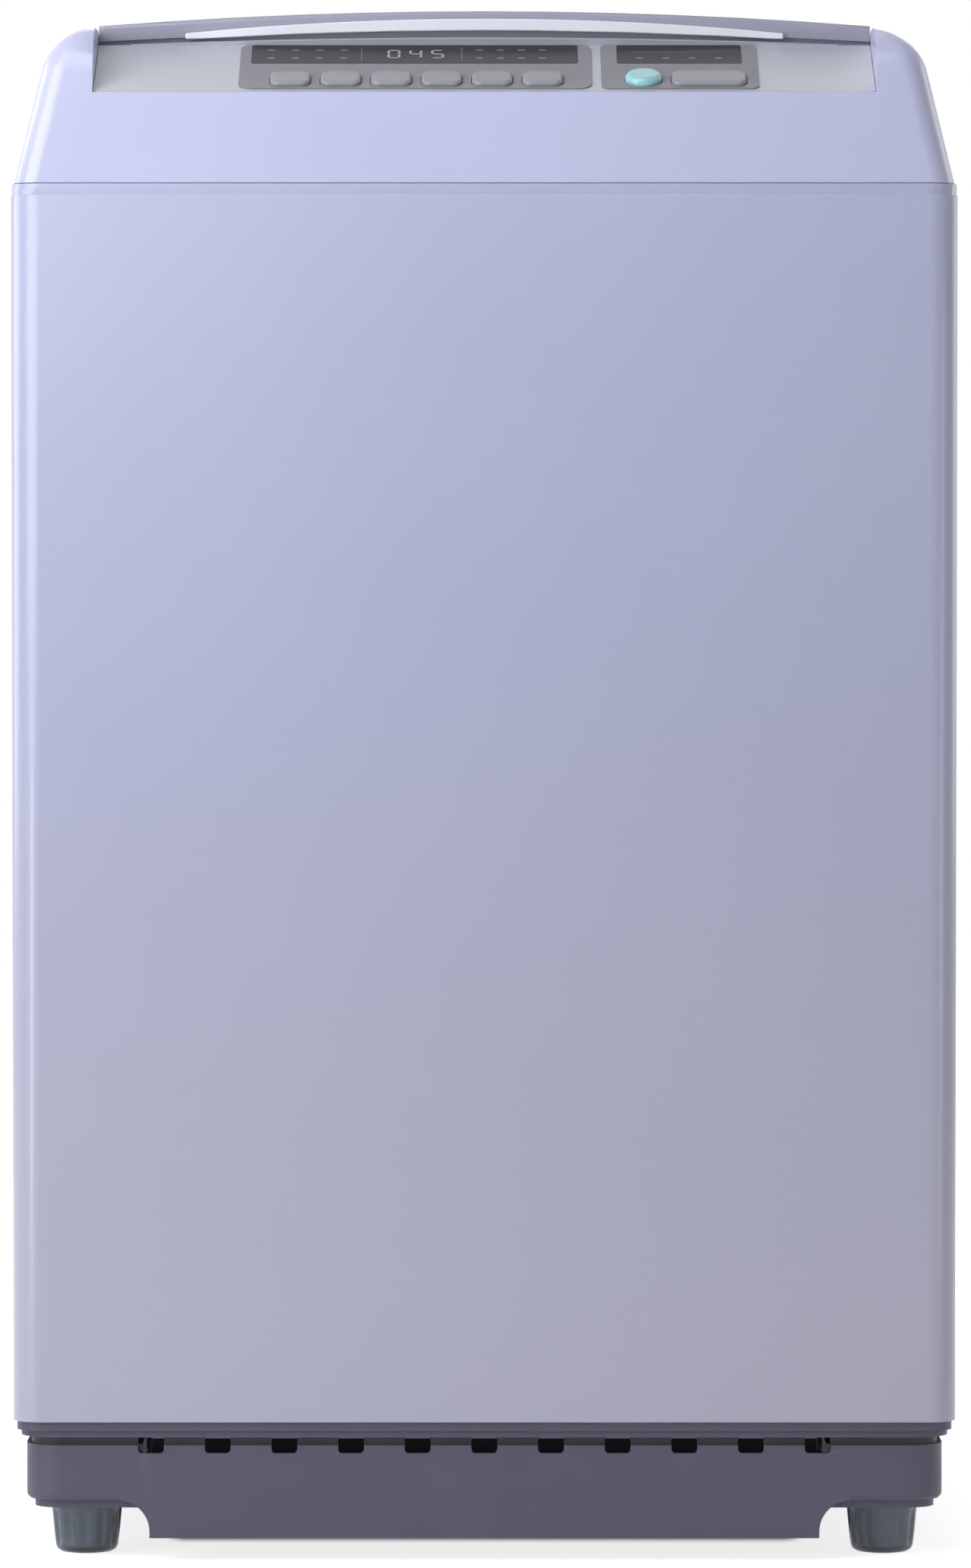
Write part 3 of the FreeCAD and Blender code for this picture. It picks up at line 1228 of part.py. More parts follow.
def make_pulley(label, radius, shaft, hub, web, y):
    """V-groove pulley; a large one has a thin web with lightening holes."""
    pulley = body(label)
    low, high = "(belt_z - pulley_width / 2)", "(belt_z + pulley_width / 2)"
    bore = shaft + " + 0.02"
    turn(pulley, rectangle(bore, low, radius, high))
    groove(pulley, [
        ("%s + 1" % radius, "belt_z - belt_width / 2 - 3.5"),
        ("%s + 1" % radius, "belt_z + belt_width / 2 + 3.5"),
        ("%s - 1.4 - belt_deep" % radius, "belt_z + belt_width / 2 + 0.5"),
        ("%s - 1.4 - belt_deep" % radius, "belt_z - belt_width / 2 - 0.5"),
    ])
    if web is not None:
        groove(pulley, rectangle(hub, "belt_z + 2.5", web, high + " + 1"))
        groove(pulley, rectangle(hub, low + " - 1", web, "belt_z - 2.5"))
        hole = cut(pulley, "XY", "belt_z - 4", "belt_z + 4",
            circle("(%s + %s) / 2" % (hub, web), "0", "15"))
        around(pulley, hole, "6")
    place(pulley, "0", y)


# ---------------------------------------------------------------- basket and pulsator

def make_basket():
    """Stainless wall, moulded floor, balance ring and lint filters."""
    wall = body("basket_wall")
    inner = "(basket_radius - basket_skin)"
    turn(wall, rectangle(inner, "basket_floor", "basket_radius", "basket_rim"))
    floor = body("basket_base")
    low = "(basket_floor - 6)"
    rim = "(%s - slip)" % inner
    hub = "(spin_radius + 0.02)"
    turn(floor, [
        (hub, low), ("basket_radius + 2", low), ("basket_radius + 2", "basket_floor"),
        (rim, "basket_floor"),
        (rim, "basket_floor + 30"), (rim + " - 3", "basket_floor + 30"),
        (rim + " - 3", "basket_floor + 5", "14"),
        ("31", "basket_floor + 5"), ("31", "basket_floor + 16", "2"), (hub, "basket_floor + 16"),
    ])
    cells = cut(floor, "XY", low + " - 1", "basket_floor + 1", [
        ("40", "-8"), ("110", "-26"), ("110", "26"), ("40", "8")])
    around(floor, cells, "10")
    balance = body("balance_ring")
    top = "(basket_rim + balance_height)"
    turn(balance, [
        ("balance_inner", "basket_rim", "8"), ("balance_inner", top, "8"), ("balance_outer", top, "8"),
        ("balance_outer", "basket_rim - 16"), ("basket_radius + slip", "basket_rim - 16"),
        ("basket_radius + slip", "basket_rim"),
    ])
    filters = []
    for start in ("0", "180"):
        lint = body("lint_filter", node=False)
        turn(lint, [(rim + " - 17", "430"), (rim, "430"), (rim, "566"), (rim + " - 9", "566", "5"),
                    (rim + " - 17", "540", "5")], degrees="20")
        lint.Placement = FreeCAD.Placement(Vector(), FreeCAD.Rotation(Vector(0, 0, 1), num(start)))
        filters.append(lint)
    group("lint_filters", filters)


def make_pulsator():
    """Dished pulsator with curved blades, and the cap over its screw."""
    disc = body("pulsator")
    bore = "wash_radius + 0.02"
    low = "pulsator_low"
    turn(disc, [
        (bore, low + " + 11"), ("34", low + " + 11"), ("40", low + " + 3"), ("pulsator_radius - 3", low),
        ("pulsator_radius", low + " + 1.5"), ("pulsator_radius", low + " + 8", "3"),
        ("120", low + " + 9", "40"),
        ("52", low + " + 15", "30"), ("24", low + " + 34", "8"), (bore, low + " + 34"),
    ])
    blade = pad(disc, "XY", low + " + 6", low + " + 28", [
        ("44", "-7", "5"), ("94", "9", "60"), ("pulsator_radius - 8", "-9", "5"),
        ("pulsator_radius - 8", "4", "5"),
        ("96", "25", "50"), ("44", "12", "5"),
    ])
    around(disc, blade, "blade_count")
    groove(disc, [("60", low + " + 29"), ("pulsator_radius - 6", low + " + 16"),
        ("pulsator_radius + 8", low + " + 16"),
                  ("pulsator_radius + 8", low + " + 40"), ("60", low + " + 40")])
    groove(disc, rectangle("wash_radius", low + " + 26", "15", low + " + 35"))
    cap = body("pulsator_cap")
    turn(cap, [("0", low + " + 26.3"), ("14.7", low + " + 26.3"), ("14.7", low + " + 34"),
        ("22", low + " + 34.3"),
               ("22", low + " + 40", "5"), ("0", low + " + 43")])


# ---------------------------------------------------------------- build and write

def write_nodes():
    """Checks every object and writes one STEP file for each node."""
    doc.recompute()
    for item in doc.Objects:
        if any(word in item.State for word in ("Invalid", "Error")):
            raise RuntimeError("%s is %s" % (item.Label, item.State))
        if item.TypeId in ("PartDesign::Pocket", "PartDesign::Groove"):
            if item.Shape.Volume > item.BaseFeature.Shape.Volume - 1e-3:
                raise RuntimeError("%s in %s removes nothing" % (item.Label, item.getParent().Label))
    for node in nodes:
        if node.Shape.isNull() or not node.Shape.isValid():
            raise RuntimeError("%s has no valid shape" % node.Label)
    os.makedirs("parts", exist_ok=True)
    for node in nodes:
        node.Shape.exportStep("parts/%s.step" % node.Label)


make_cabinet()
make_rear_panel()
make_base()
make_feet()
make_suspension()
make_top_cover()
make_controls()
make_lid()
make_drawer()
make_inlet_valve()
make_small_fittings()
make_drain()
make_tub()
make_drive()
make_basket()
make_pulsator()
write_nodes()
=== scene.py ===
"""Top load washing machine: finishes, eased mouldings, detailed pieces and the stage."""
import json
import math

import bmesh
import bpy
from mathutils import Matrix, Vector

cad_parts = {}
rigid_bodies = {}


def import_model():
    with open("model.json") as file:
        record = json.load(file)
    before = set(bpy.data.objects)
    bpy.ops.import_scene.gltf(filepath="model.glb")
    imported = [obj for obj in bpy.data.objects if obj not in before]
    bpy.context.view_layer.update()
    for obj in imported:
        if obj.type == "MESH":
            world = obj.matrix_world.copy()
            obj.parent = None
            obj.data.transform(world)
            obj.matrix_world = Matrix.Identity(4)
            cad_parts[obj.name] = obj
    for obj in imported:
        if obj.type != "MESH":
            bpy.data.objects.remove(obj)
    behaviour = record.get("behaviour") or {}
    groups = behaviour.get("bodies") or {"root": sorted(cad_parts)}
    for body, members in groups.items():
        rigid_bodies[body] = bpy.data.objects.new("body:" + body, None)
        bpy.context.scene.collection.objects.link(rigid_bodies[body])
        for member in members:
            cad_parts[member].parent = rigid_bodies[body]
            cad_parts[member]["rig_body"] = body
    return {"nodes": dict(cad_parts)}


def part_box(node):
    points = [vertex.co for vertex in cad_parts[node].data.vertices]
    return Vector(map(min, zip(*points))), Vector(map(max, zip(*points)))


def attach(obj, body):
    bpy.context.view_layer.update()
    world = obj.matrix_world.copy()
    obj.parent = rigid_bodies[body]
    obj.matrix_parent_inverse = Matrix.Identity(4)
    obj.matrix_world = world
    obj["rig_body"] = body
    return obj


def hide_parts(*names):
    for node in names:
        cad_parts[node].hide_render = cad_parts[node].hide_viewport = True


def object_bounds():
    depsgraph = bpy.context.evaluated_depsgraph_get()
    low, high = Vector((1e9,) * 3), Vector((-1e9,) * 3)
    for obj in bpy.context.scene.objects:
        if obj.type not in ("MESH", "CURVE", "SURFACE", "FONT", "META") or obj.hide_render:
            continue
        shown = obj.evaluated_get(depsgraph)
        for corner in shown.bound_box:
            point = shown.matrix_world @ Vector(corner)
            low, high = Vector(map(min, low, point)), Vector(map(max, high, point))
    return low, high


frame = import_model()

bl_info = {
    "name": "Top Load Washing Machine",
    "version": (1, 0, 0),
    "blender": (4, 5, 0),
    "location": "3D View > Sidebar > Washer",
    "description": "Finishes and details of a top load washing machine on its packed frame",
    "category": "Object",
}

MM = 0.001
# The floor's own light beside the machine; further off it rises to 1, which is white.
GLOW = 0.8
PANEL_SLOPE = math.radians(23.8)
WINDOW_THICK = 1.0 * MM
# Sheet of the basket's wall.
SHEET = 0.8 * MM
# The inlet spigot's axis.
SPIGOT_X, SPIGOT_Z = 130 * MM, 891.2 * MM
# Bars of a seven-segment digit: a at the top, then clockwise to f, and g across the middle.
SEGMENTS = {"0": "abcdef", "4": "bcfg", "5": "acdfg"}
# Closer corners than this count as one.
WELD = 1e-6
NODES = frame["nodes"]
CAD_BOX = [list(corner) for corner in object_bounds()]


# ---------------------------------------------------------------- sizes and colours

class WasherSizes(bpy.types.PropertyGroup):
    """Sizes of the details that are modelled on the frame."""
    edge: bpy.props.FloatProperty(
        name="Moulded edge", description="Rounding of a moulded edge",
        default=0.8 * MM, unit="LENGTH")
    sheet_edge: bpy.props.FloatProperty(
        name="Sheet edge", description="Rounding of a folded sheet edge",
        default=0.35 * MM, unit="LENGTH")
    flute_count: bpy.props.IntProperty(
        name="Foot flutes", description="Grip flutes round a rubber foot", default=12)
    flute_depth: bpy.props.FloatProperty(
        name="Flute depth", description="Depth of a foot's flutes", default=1.3 * MM, unit="LENGTH")
    hole_pitch: bpy.props.FloatProperty(
        name="Hole pitch", description="Spacing of the basket's holes",
        default=14.2 * MM, unit="LENGTH")
    hole_width: bpy.props.FloatProperty(
        name="Hole width", description="Width of a hole in the basket",
        default=5.0 * MM, unit="LENGTH")
    digit: bpy.props.FloatProperty(
        name="Digit height", description="Height of a digit of the display",
        default=13.0 * MM, unit="LENGTH")


class WasherColours(bpy.types.PropertyGroup):
    """Colours that a user would change."""
    body: bpy.props.StringProperty(
        name="Body", description="Painted steel, sRGB hex", default="b4b7cf")
    cover: bpy.props.StringProperty(
        name="Cover", description="Moulded top cover, sRGB hex", default="ccceea")
    base: bpy.props.StringProperty(
        name="Base", description="Moulded base, sRGB hex", default="5b5669")
    start: bpy.props.StringProperty(
        name="Start key", description="Start key, sRGB hex", default="92cdcf")


class WasherStage(bpy.types.PropertyGroup):
    """Where the camera stands and what it frames."""
    distance: bpy.props.FloatProperty(
        name="Distance", description="Camera to the machine's front", default=4.7, unit="LENGTH")
    height: bpy.props.FloatProperty(
        name="Height", description="Camera above the floor", default=0.634, unit="LENGTH")
    framed: bpy.props.FloatProperty(
        name="Framed height", description="Height of the view at the machine's front",
        default=0.9591, unit="LENGTH")
    aim: bpy.props.FloatProperty(
        name="Aim", description="Height that the camera looks at", default=0.4785, unit="LENGTH")


# ---------------------------------------------------------------- nodes and materials

def linear(code):
    """Linear RGBA of an sRGB hex colour."""
    channels = [int(code[i:i + 2], 16) / 255 for i in (0, 2, 4)]
    return [c / 12.92 if c <= 0.04045 else ((c + 0.055) / 1.055) ** 2.4 for c in channels] + [1.0]


def add(tree, kind, inputs=None, **fields):
    """A shader node with its settings, its values and its links."""
    item = tree.nodes.new(kind)
    for name, value in fields.items():
        setattr(item, name, value)
    for name, value in (inputs or {}).items():
        if isinstance(value, bpy.types.NodeSocket):
            tree.links.new(value, item.inputs[name])
        else:
            item.inputs[name].default_value = value
    return item


def per_metre(millimetres):
    """Scale of a pattern on Object coordinates whose features are that far apart."""
    return 1 / (millimetres * MM)


class Finish:
    """A material on Object coordinates, and the patterns that it is built up from."""

    def __init__(self, name, tint, roughness, **constants):
        self.material = bpy.data.materials.new(name)
        self.material.use_nodes = True
        self.material.diffuse_color = linear(tint)
        self.tree = self.material.node_tree
        self.tree.nodes.clear()
        self.tint = tint
        self.roughness = roughness
        values = {"Base Color": linear(tint), "Roughness": roughness}
        values.update({key.replace("_", " "): value for key, value in constants.items()})
        self.shader = self.add("ShaderNodeBsdfPrincipled", values)
        self.add("ShaderNodeOutputMaterial", {"Surface": self.shader.outputs[0]})
        self.place = self.add("ShaderNodeTexCoord").outputs["Object"]

    def add(self, kind, inputs=None, **fields):
        return add(self.tree, kind, inputs, **fields)

    def noise(self, size, detail=3.0, stretch=(1, 1, 1)):
        """Noise with features of that many millimetres, stretched along the axes."""
        place = self.add("ShaderNodeMapping", {"Vector": self.place, "Scale": stretch})
        return self.add("ShaderNodeTexNoise", {
            "Vector": place.outputs[0], "Scale": per_metre(size), "Detail": detail}).outputs[0]

    def ranged(self, source, low, high):
        """A pattern's middle part spread over the values low to high."""
        return self.add("ShaderNodeMapRange", {
            "Value": source, "From Min": 0.2, "From Max": 0.8,
            "To Min": low, "To Max": high}).outputs[0]

    def drift(self, size, other, amount=1.0):
        """Lets the colour drift towards another one in clouds of that size."""
        colours = self.add("ShaderNodeMix", {
            0: self.ranged(self.noise(size), 0.0, amount), 6: linear(self.tint), 7: linear(other)},
            data_type="RGBA")
        self.tree.links.new(colours.outputs[2], self.shader.inputs["Base Color"])
        return self

    def banded(self, other, low, high, soft):
        """Passes to another colour between two heights in millimetres, with edges that soft."""
        height = self.add("ShaderNodeSeparateXYZ", {0: self.place}).outputs[2]
        share = 1.0
        for start, end in ((low - soft, low), (high + soft, high)):
            step = self.add("ShaderNodeMapRange", {
                "Value": height, "From Min": start * MM, "From Max": end * MM},
                interpolation_type="SMOOTHSTEP").outputs[0]
            share = self.add("ShaderNodeMath", {0: share, 1: step}, operation="MULTIPLY").outputs[0]
        base = self.shader.inputs["Base Color"]
        colours = self.add("ShaderNodeMix", {
            0: share, 6: base.links[0].from_socket, 7: linear(other)}, data_type="RGBA")
        self.tree.links.new(colours.outputs[2], base)
        return self

    def dull(self, size, spread, stretch=(1, 1, 1)):
        """Lets the roughness vary by that spread in patches of that size."""
        patches = self.ranged(self.noise(size, 2.0, stretch),
                              self.roughness - spread, self.roughness + spread)
        self.tree.links.new(patches, self.shader.inputs["Roughness"])
        return self

    def relief(self, size, depth, detail=3.0, stretch=(1, 1, 1)):
        """A relief with that spacing and depth in millimetres, over what is there already."""
        return self.emboss(self.noise(size, detail, stretch), depth)

    def emboss(self, height, depth):
        """Turns a pattern into relief of that depth in millimetres."""
        values = {"Height": height, "Distance": depth * MM, "Strength": 1.0}
        normal = self.shader.inputs["Normal"]
        if normal.is_linked:
            values["Normal"] = normal.links[0].from_socket
        bump = self.add("ShaderNodeBump", values)
        self.tree.links.new(bump.outputs[0], normal)
        return self


def painted_steel():
    # Stoving enamel with a fine pearl on sheet steel: satin, with a little orange peel
    # and broad soft highlights.
    return (Finish("painted_steel", bpy.context.scene.washer_colours.body, 0.38,
                   Metallic=0.04, Coat_Weight=0.4, Coat_Roughness=0.2)
            # Painted light: from about 650 mm down to 90 mm the colour fades to a warmer grey,
            # standing in for warmer light low on the front.
            .drift(180, "afb2cb").banded("bcbaca", -600, 90, 560)
            .dull(60, 0.03).relief(5.0, 0.012).relief(0.9, 0.004))


def cover_abs():
    # Gloss moulded ABS: smooth, with the slight waviness of a large moulding.
    return (Finish("cover_abs", bpy.context.scene.washer_colours.cover, 0.3,
                   Coat_Weight=0.3, Coat_Roughness=0.15)
            .drift(140, "c7c9e5").dull(60, 0.02).relief(70.0, 0.04, 1.0).relief(1.2, 0.003))


def lid_abs():
    # Gloss moulded ABS of the lid, a shade greyer than the cover.
    return (Finish("lid_abs", "a5a5b4", 0.36, Coat_Weight=0.12, Coat_Roughness=0.25)
            .drift(120, "a0a0b0").dull(60, 0.02).relief(70.0, 0.03, 1.0).relief(1.2, 0.003))


def bright_trim():
    # Plated ABS trim: a hard bright strip with faint polishing haze. Its near-white colour is
    # partly its own and partly a painted highlight, standing in for light caught along the lid's
    # rounded front edge.
    return (Finish("bright_trim", "f8faff", 0.24, Metallic=0.0, Coat_Weight=0.4, Coat_Roughness=0.1)
            .drift(60, "f0f3f9").dull(20, 0.05).relief(2.0, 0.003))


def base_polypropylene():
    # Moulded polypropylene with a fine spark-eroded grain, drawn 1.6 mm apart so that it shows.
    return (Finish("base_polypropylene", bpy.context.scene.washer_colours.base, 0.5)
            # Painted shade: between 72.4 and 76.2 mm high the colour goes near black, where the
            # groove round the base lies in shade.
            .drift(50, "555060").banded("221f28", 72.4, 76.2, 0.6).dull(18, 0.06).relief(1.6, 0.02))


def foot_rubber():
    # Moulded nitrile rubber: dark blue-grey, with a greasy sheen and a fine bloom.
    return (Finish("foot_rubber", "626e7a", 0.32, Coat_Weight=0.25, Coat_Roughness=0.3)
            # Painted shade: the lowest 2.5 mm of the foot, fading out by 5.5 mm, go near black
            # where it rests on the floor.
            .drift(9, "525d68").banded("23292e", -9, 2.5, 3).dull(6, 0.08).relief(1.2, 0.02))


def zinc_steel():
    # Electro-plated zinc on pressed steel: grey spangle and a soft metallic sheen.
    return (Finish("zinc_steel", "b4b7ba", 0.38, Metallic=1.0)
            .drift(9, "9c9fa3").dull(5, 0.1).relief(2.5, 0.01))


def ground_steel():
    # Ground shaft steel: bright, with fine rings left by the wheel, drawn 0.8 mm apart.
    return (Finish("ground_steel", "a9abad", 0.24, Metallic=1.0)
            .drift(14, "9b9da0").dull(4, 0.05).relief(0.8, 0.004, stretch=(0.05, 0.05, 1)))


def fascia_silver():
    # Silver lacquer on a moulded fascia: fine flake, satin.
    return (Finish("fascia_silver", "c5c7ce", 0.36,
                   Metallic=0.1, Coat_Weight=0.2, Coat_Roughness=0.2)
            .drift(50, "bfc1c8").dull(14, 0.04).relief(0.9, 0.006))


def keypad_film():
    # Screen-printed polycarbonate film: warm grey, matt, with a very fine grain.
    return (Finish("keypad_film", "8f8d93", 0.48)
            .drift(22, "89878c").dull(8, 0.05).relief(0.9, 0.006))


def key_grey():
    # Painted key caps, a shade lighter than their plate.
    return (Finish("key_grey", "97969b", 0.4, Coat_Weight=0.15, Coat_Roughness=0.25)
            .drift(12, "908f94").dull(6, 0.04).relief(0.9, 0.005))


def smoked_window():
    # Smoked acrylic over the indicators: almost black, glossy, with a hint of haze.
    return (Finish("smoked_window", "201e23", 0.3,
                   Specular_IOR_Level=0.25, Coat_Weight=0.05, Coat_Roughness=0.12)
            .drift(14, "1b191d").dull(8, 0.03).relief(6.0, 0.004))


def lit_bar():
    # Moulded light pipes of the display, seen pale through the smoked window. The display is unlit;
    # their faint glow is painted light, standing in for glints on the digits.
    return (Finish("lit_bar", "b3a9b0", 0.4,
                   Emission_Color=linear("cfc0c6"), Emission_Strength=0.06)
            .drift(3, "a59ba3").dull(3, 0.05).relief(0.9, 0.002))


def lamp_lens():
    # Small diffusing lamp lenses, unlit.
    return (Finish("lamp_lens", "8b8b8a", 0.35, Subsurface_Weight=0.2, Subsurface_Scale=0.5 * MM)
            .drift(3, "7f807c").dull(2, 0.05).relief(0.8, 0.002))


def window_print():
    # Thin grey rules printed on the window.
    return Finish("window_print", "77747a", 0.4).drift(6, "6f6c72").dull(4, 0.04).relief(0.8, 0.001)


def start_turquoise():
    # Tinted translucent key that glows a little at its crown.
    return (Finish("start_turquoise", bpy.context.scene.washer_colours.start, 0.25, IOR=1.49,
                   Subsurface_Weight=0.25, Subsurface_Scale=2 * MM,
                   Coat_Weight=0.4, Coat_Roughness=0.08)
            .drift(7, "a4dfde").dull(6, 0.04).relief(3.0, 0.004))


def box_black():
    # Black moulded ABS of the hidden fittings.
    return (Finish("box_black", "27282b", 0.5).drift(16, "303135").dull(8, 0.06).relief(1.2, 0.02))


def board_lacquer():
    # Green solder lacquer over a glass-fibre board.
    return (Finish("board_lacquer", "1f5238", 0.3, Coat_Weight=0.4, Coat_Roughness=0.15)
            .drift(6, "19462f").dull(4, 0.06).relief(0.8, 0.02))


def tub_polypropylene():
    # Natural white polypropylene: slightly warm, satin, faint flow marks.
    return (Finish("tub_polypropylene", "e3e4e3", 0.42,
                   Subsurface_Weight=0.08, Subsurface_Scale=3 * MM)
            .drift(90, "dadbd9").dull(25, 0.05).relief(30.0, 0.06).relief(1.5, 0.01))


def pulsator_plastic():
    # Pale moulded acetal of the pulsator: smooth and slightly glossy.
    return (Finish("pulsator_plastic", "d5dae2", 0.3,
                   Subsurface_Weight=0.06, Subsurface_Scale=3 * MM)
            .drift(50, "cbd1da").dull(20, 0.05).relief(20.0, 0.04))


def grey_polypropylene():
    # Grey moulded polypropylene of drain and pulley.
    return (Finish("grey_polypropylene", "74767a", 0.48)
            .drift(20, "6b6d71").dull(9, 0.06).relief(1.4, 0.02))


def stainless_sheet():
    # Rolled stainless steel: fine rolling lines, drawn 1.2 mm apart so that they show.
    return (Finish("stainless_sheet", "c4c6c8", 0.26, Metallic=1.0)
            .drift(70, "b8babd").dull(3, 0.06, stretch=(0.06, 0.06, 1))
            .relief(1.2, 0.006, stretch=(0.05, 0.05, 1)))


def cast_aluminium():
    # Die-cast aluminium: pale grey, slightly pitted skin.
    return (Finish("cast_aluminium", "b2b4b6", 0.42, Metallic=1.0)
            .drift(18, "a2a4a7").dull(6, 0.08).relief(1.8, 0.03))


def drawn_can():
    # Drawn aluminium can of the capacitor: smooth, with faint draw lines.
    return (Finish("drawn_can", "c9cacc", 0.26, Metallic=1.0)
            .drift(20, "bdbec1").dull(5, 0.06).relief(1.0, 0.006, stretch=(1, 1, 0.08)))


def belt_rubber():
    # Moulded belt rubber: black, dry and dusty.
    return (Finish("belt_rubber", "1b1b1c", 0.7).drift(8, "262626").dull(5, 0.08).relief(1.1, 0.03))


FINISHES = {
    painted_steel: ["cabinet_shell", "rear_panel"],
    cover_abs: ["top_cover"],
    lid_abs: ["lid"],
    bright_trim: ["lid_grip"],
    base_polypropylene: ["base_frame"],
    foot_rubber: ["foot_front_left", "foot_rear_left", "foot_rear_right", "levelling_foot",
                  "lid_bumpers"],
    zinc_steel: ["corner_brackets", "rear_screws", "levelling_stud", "lid_hinge_pins",
                 "drive_plate", "suspension_springs", "suspension_rods"],
    ground_steel: ["spin_shaft", "wash_shaft", "motor_shaft"],
    fascia_silver: ["control_fascia"],
    keypad_film: ["keypad_plate", "power_plate"],
    key_grey: ["power_key"] + ["programme_key_%d" % number for number in range(1, 7)],
    smoked_window: ["display_window", "status_window"],
    start_turquoise: ["start_key"],
    box_black: ["control_box", "lid_switch", "level_sensor", "damper_cups", "cable_gland"],
    board_lacquer: ["control_board"],
    tub_polypropylene: ["drawer_housing", "detergent_drawer", "outer_tub", "tub_cover",
                        "inlet_valve", "balance_ring", "basket_base", "lint_filters"],
    pulsator_plastic: ["pulsator", "pulsator_cap"],
    grey_polypropylene: ["drain_valve", "drain_hose", "drain_outlet", "drive_pulley"],
    stainless_sheet: ["basket_wall"],
    cast_aluminium: ["clutch_housing", "motor", "motor_pulley"],
    drawn_can: ["run_capacitor"],
    belt_rubber: ["drive_belt"],
}


# ---------------------------------------------------------------- shapes

def finish_of(node):
    """The material of a frame node."""
    return NODES[node].data.materials[0]


def finished(shape, name, node, material, angle=35.0, hides=True):
    """Turns a bmesh into a piece that rides and takes its slot where a frame node does."""
    mesh = bpy.data.meshes.new(name)
    shape.to_mesh(mesh)
    shape.free()
    mesh.polygons.foreach_set("use_smooth", [True] * len(mesh.polygons))
    mesh.set_sharp_from_angle(angle=math.radians(angle))
    mesh.materials.append(material)
    piece = bpy.data.objects.new(name, mesh)
    bpy.context.scene.collection.objects.link(piece)
    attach(piece, NODES[node]["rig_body"])
    if hides:
        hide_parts(node)
    return piece


def welded(node, level_too=True):
    """A bmesh of a frame node, welded, with its flat faces made whole, level ones if wanted."""
    shape = bmesh.new()
    shape.from_mesh(NODES[node].data)
    bmesh.ops.remove_doubles(shape, verts=shape.verts, dist=WELD)
    shape.normal_update()
    level = 0.99
    joined = [edge for edge in shape.edges
              if level_too or not any(abs(face.normal.z) > level for face in edge.link_faces)]
    corners = shape.verts[:] if level_too else []
    bmesh.ops.dissolve_limit(shape, angle_limit=math.radians(0.6), verts=corners, edges=joined)
    return shape


def eased(node, width, angle=40.0, level_too=True):
    """The node again with smooth curves and softened edges."""
    piece = finished(welded(node, level_too), node + "_eased", node, finish_of(node))
    bevel = piece.modifiers.new("edges", "BEVEL")
    bevel.width = width
    bevel.segments = 2
    bevel.limit_method = "ANGLE"
    bevel.angle_limit = math.radians(angle)
    bevel.harden_normals = True
    return piece


def lathe(profile, steps, centre=(0, 0, 0), along="Z"):
    """A bmesh turned from (radius, height) points in millimetres, about an axis through centre."""
    shape = bmesh.new()
    points = [shape.verts.new((radius * MM, 0, height * MM)) for radius, height in profile]
    edges = [shape.edges.new(pair) for pair in zip(points, points[1:])]
    bmesh.ops.spin(shape, geom=points + edges, cent=(0, 0, 0), axis=(0, 0, 1), angle=math.tau,
                   steps=steps, use_merge=True)
    bmesh.ops.remove_doubles(shape, verts=shape.verts, dist=WELD)
    if along == "Y":
        bmesh.ops.rotate(shape, verts=shape.verts, cent=(0, 0, 0),
                         matrix=Matrix.Rotation(-math.pi / 2, 3, "X"))
    bmesh.ops.translate(shape, verts=shape.verts, vec=centre)
    bmesh.ops.recalc_face_normals(shape, faces=shape.faces)
    return shape


def prism(shape, outline, depth, move):
    """Adds a plate to a bmesh: an outline and a depth in metres, put in place by move(x, y, z)."""
    low = [shape.verts.new(move(x, y, 0)) for x, y in outline]
    face = shape.faces.new(low)
    grown = bmesh.ops.extrude_face_region(shape, geom=[face])
    lifted = [item for item in grown["geom"] if isinstance(item, bmesh.types.BMVert)]
    rise = move(0, 0, depth) - move(0, 0, 0)
    bmesh.ops.translate(shape, verts=lifted, vec=rise)


def pill(x, y, width, height, corner_steps=5):
    """Outline of a lamp with round ends."""
    radius = min(width, height) / 2
    points = []
    for quarter, (x_side, y_side) in enumerate(((1, 1), (-1, 1), (-1, -1), (1, -1))):
        for step in range(corner_steps + 1):
            angle = (quarter + step / corner_steps) * math.pi / 2
            points.append((x + x_side * (width / 2 - radius) + radius * math.cos(angle),
                           y + y_side * (height / 2 - radius) + radius * math.sin(angle)))
    return points


def on_window(node):
    """A function that puts a point, measured from a window's lower left corner, onto its face."""
    corner = Vector(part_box(node)[0]) + Vector((0, WINDOW_THICK * math.sin(PANEL_SLOPE), 0))
    turn = Matrix.Rotation(PANEL_SLOPE, 3, "X")
    return lambda x, y, z: corner + turn @ Vector((x, y, z + WINDOW_THICK))


def bar(x, y, length, thick, upright):
    """Outline of one bar of a digit, centred there."""
    half, tip = length / 2, thick / 2
    points = [(-half, 0), (tip - half, -tip), (half - tip, -tip),
              (half, 0), (half - tip, tip), (tip - half, tip)]
    return [(x + v, y + u) if upright else (x + u, y + v) for u, v in points]


def digit(text, x, y, height):
    """Outlines of a seven-segment digit's bars, a little shorter than their places."""
    wide, thick, share = height * 0.5, height * 0.12, 0.92
    places = {"a": (0, 1, False), "b": (1, 0.5, True), "c": (1, -0.5, True), "d": (0, -1, False),
              "e": (-1, -0.5, True), "f": (-1, 0.5, True), "g": (0, 0, False)}
    for name in SEGMENTS[text]:
        across, up, upright = places[name]
        length = (height / 2 if upright else wide) * share
        yield bar(x + across * wide / 2, y + up * height / 2, length, thick, upright)


def plates(name, node, outlines, lift, material, start=-0.03):
    """A piece of thin plates on a window or its keypad plate; lift and start are in millimetres."""
    shape = bmesh.new()
    move = on_window(node)
    for outline in outlines:
        prism(shape, outline, lift * MM, lambda x, y, z: move(x, y, z + start * MM))
    bmesh.ops.recalc_face_normals(shape, faces=shape.faces)
    return finished(shape, name, node, material, hides=False)


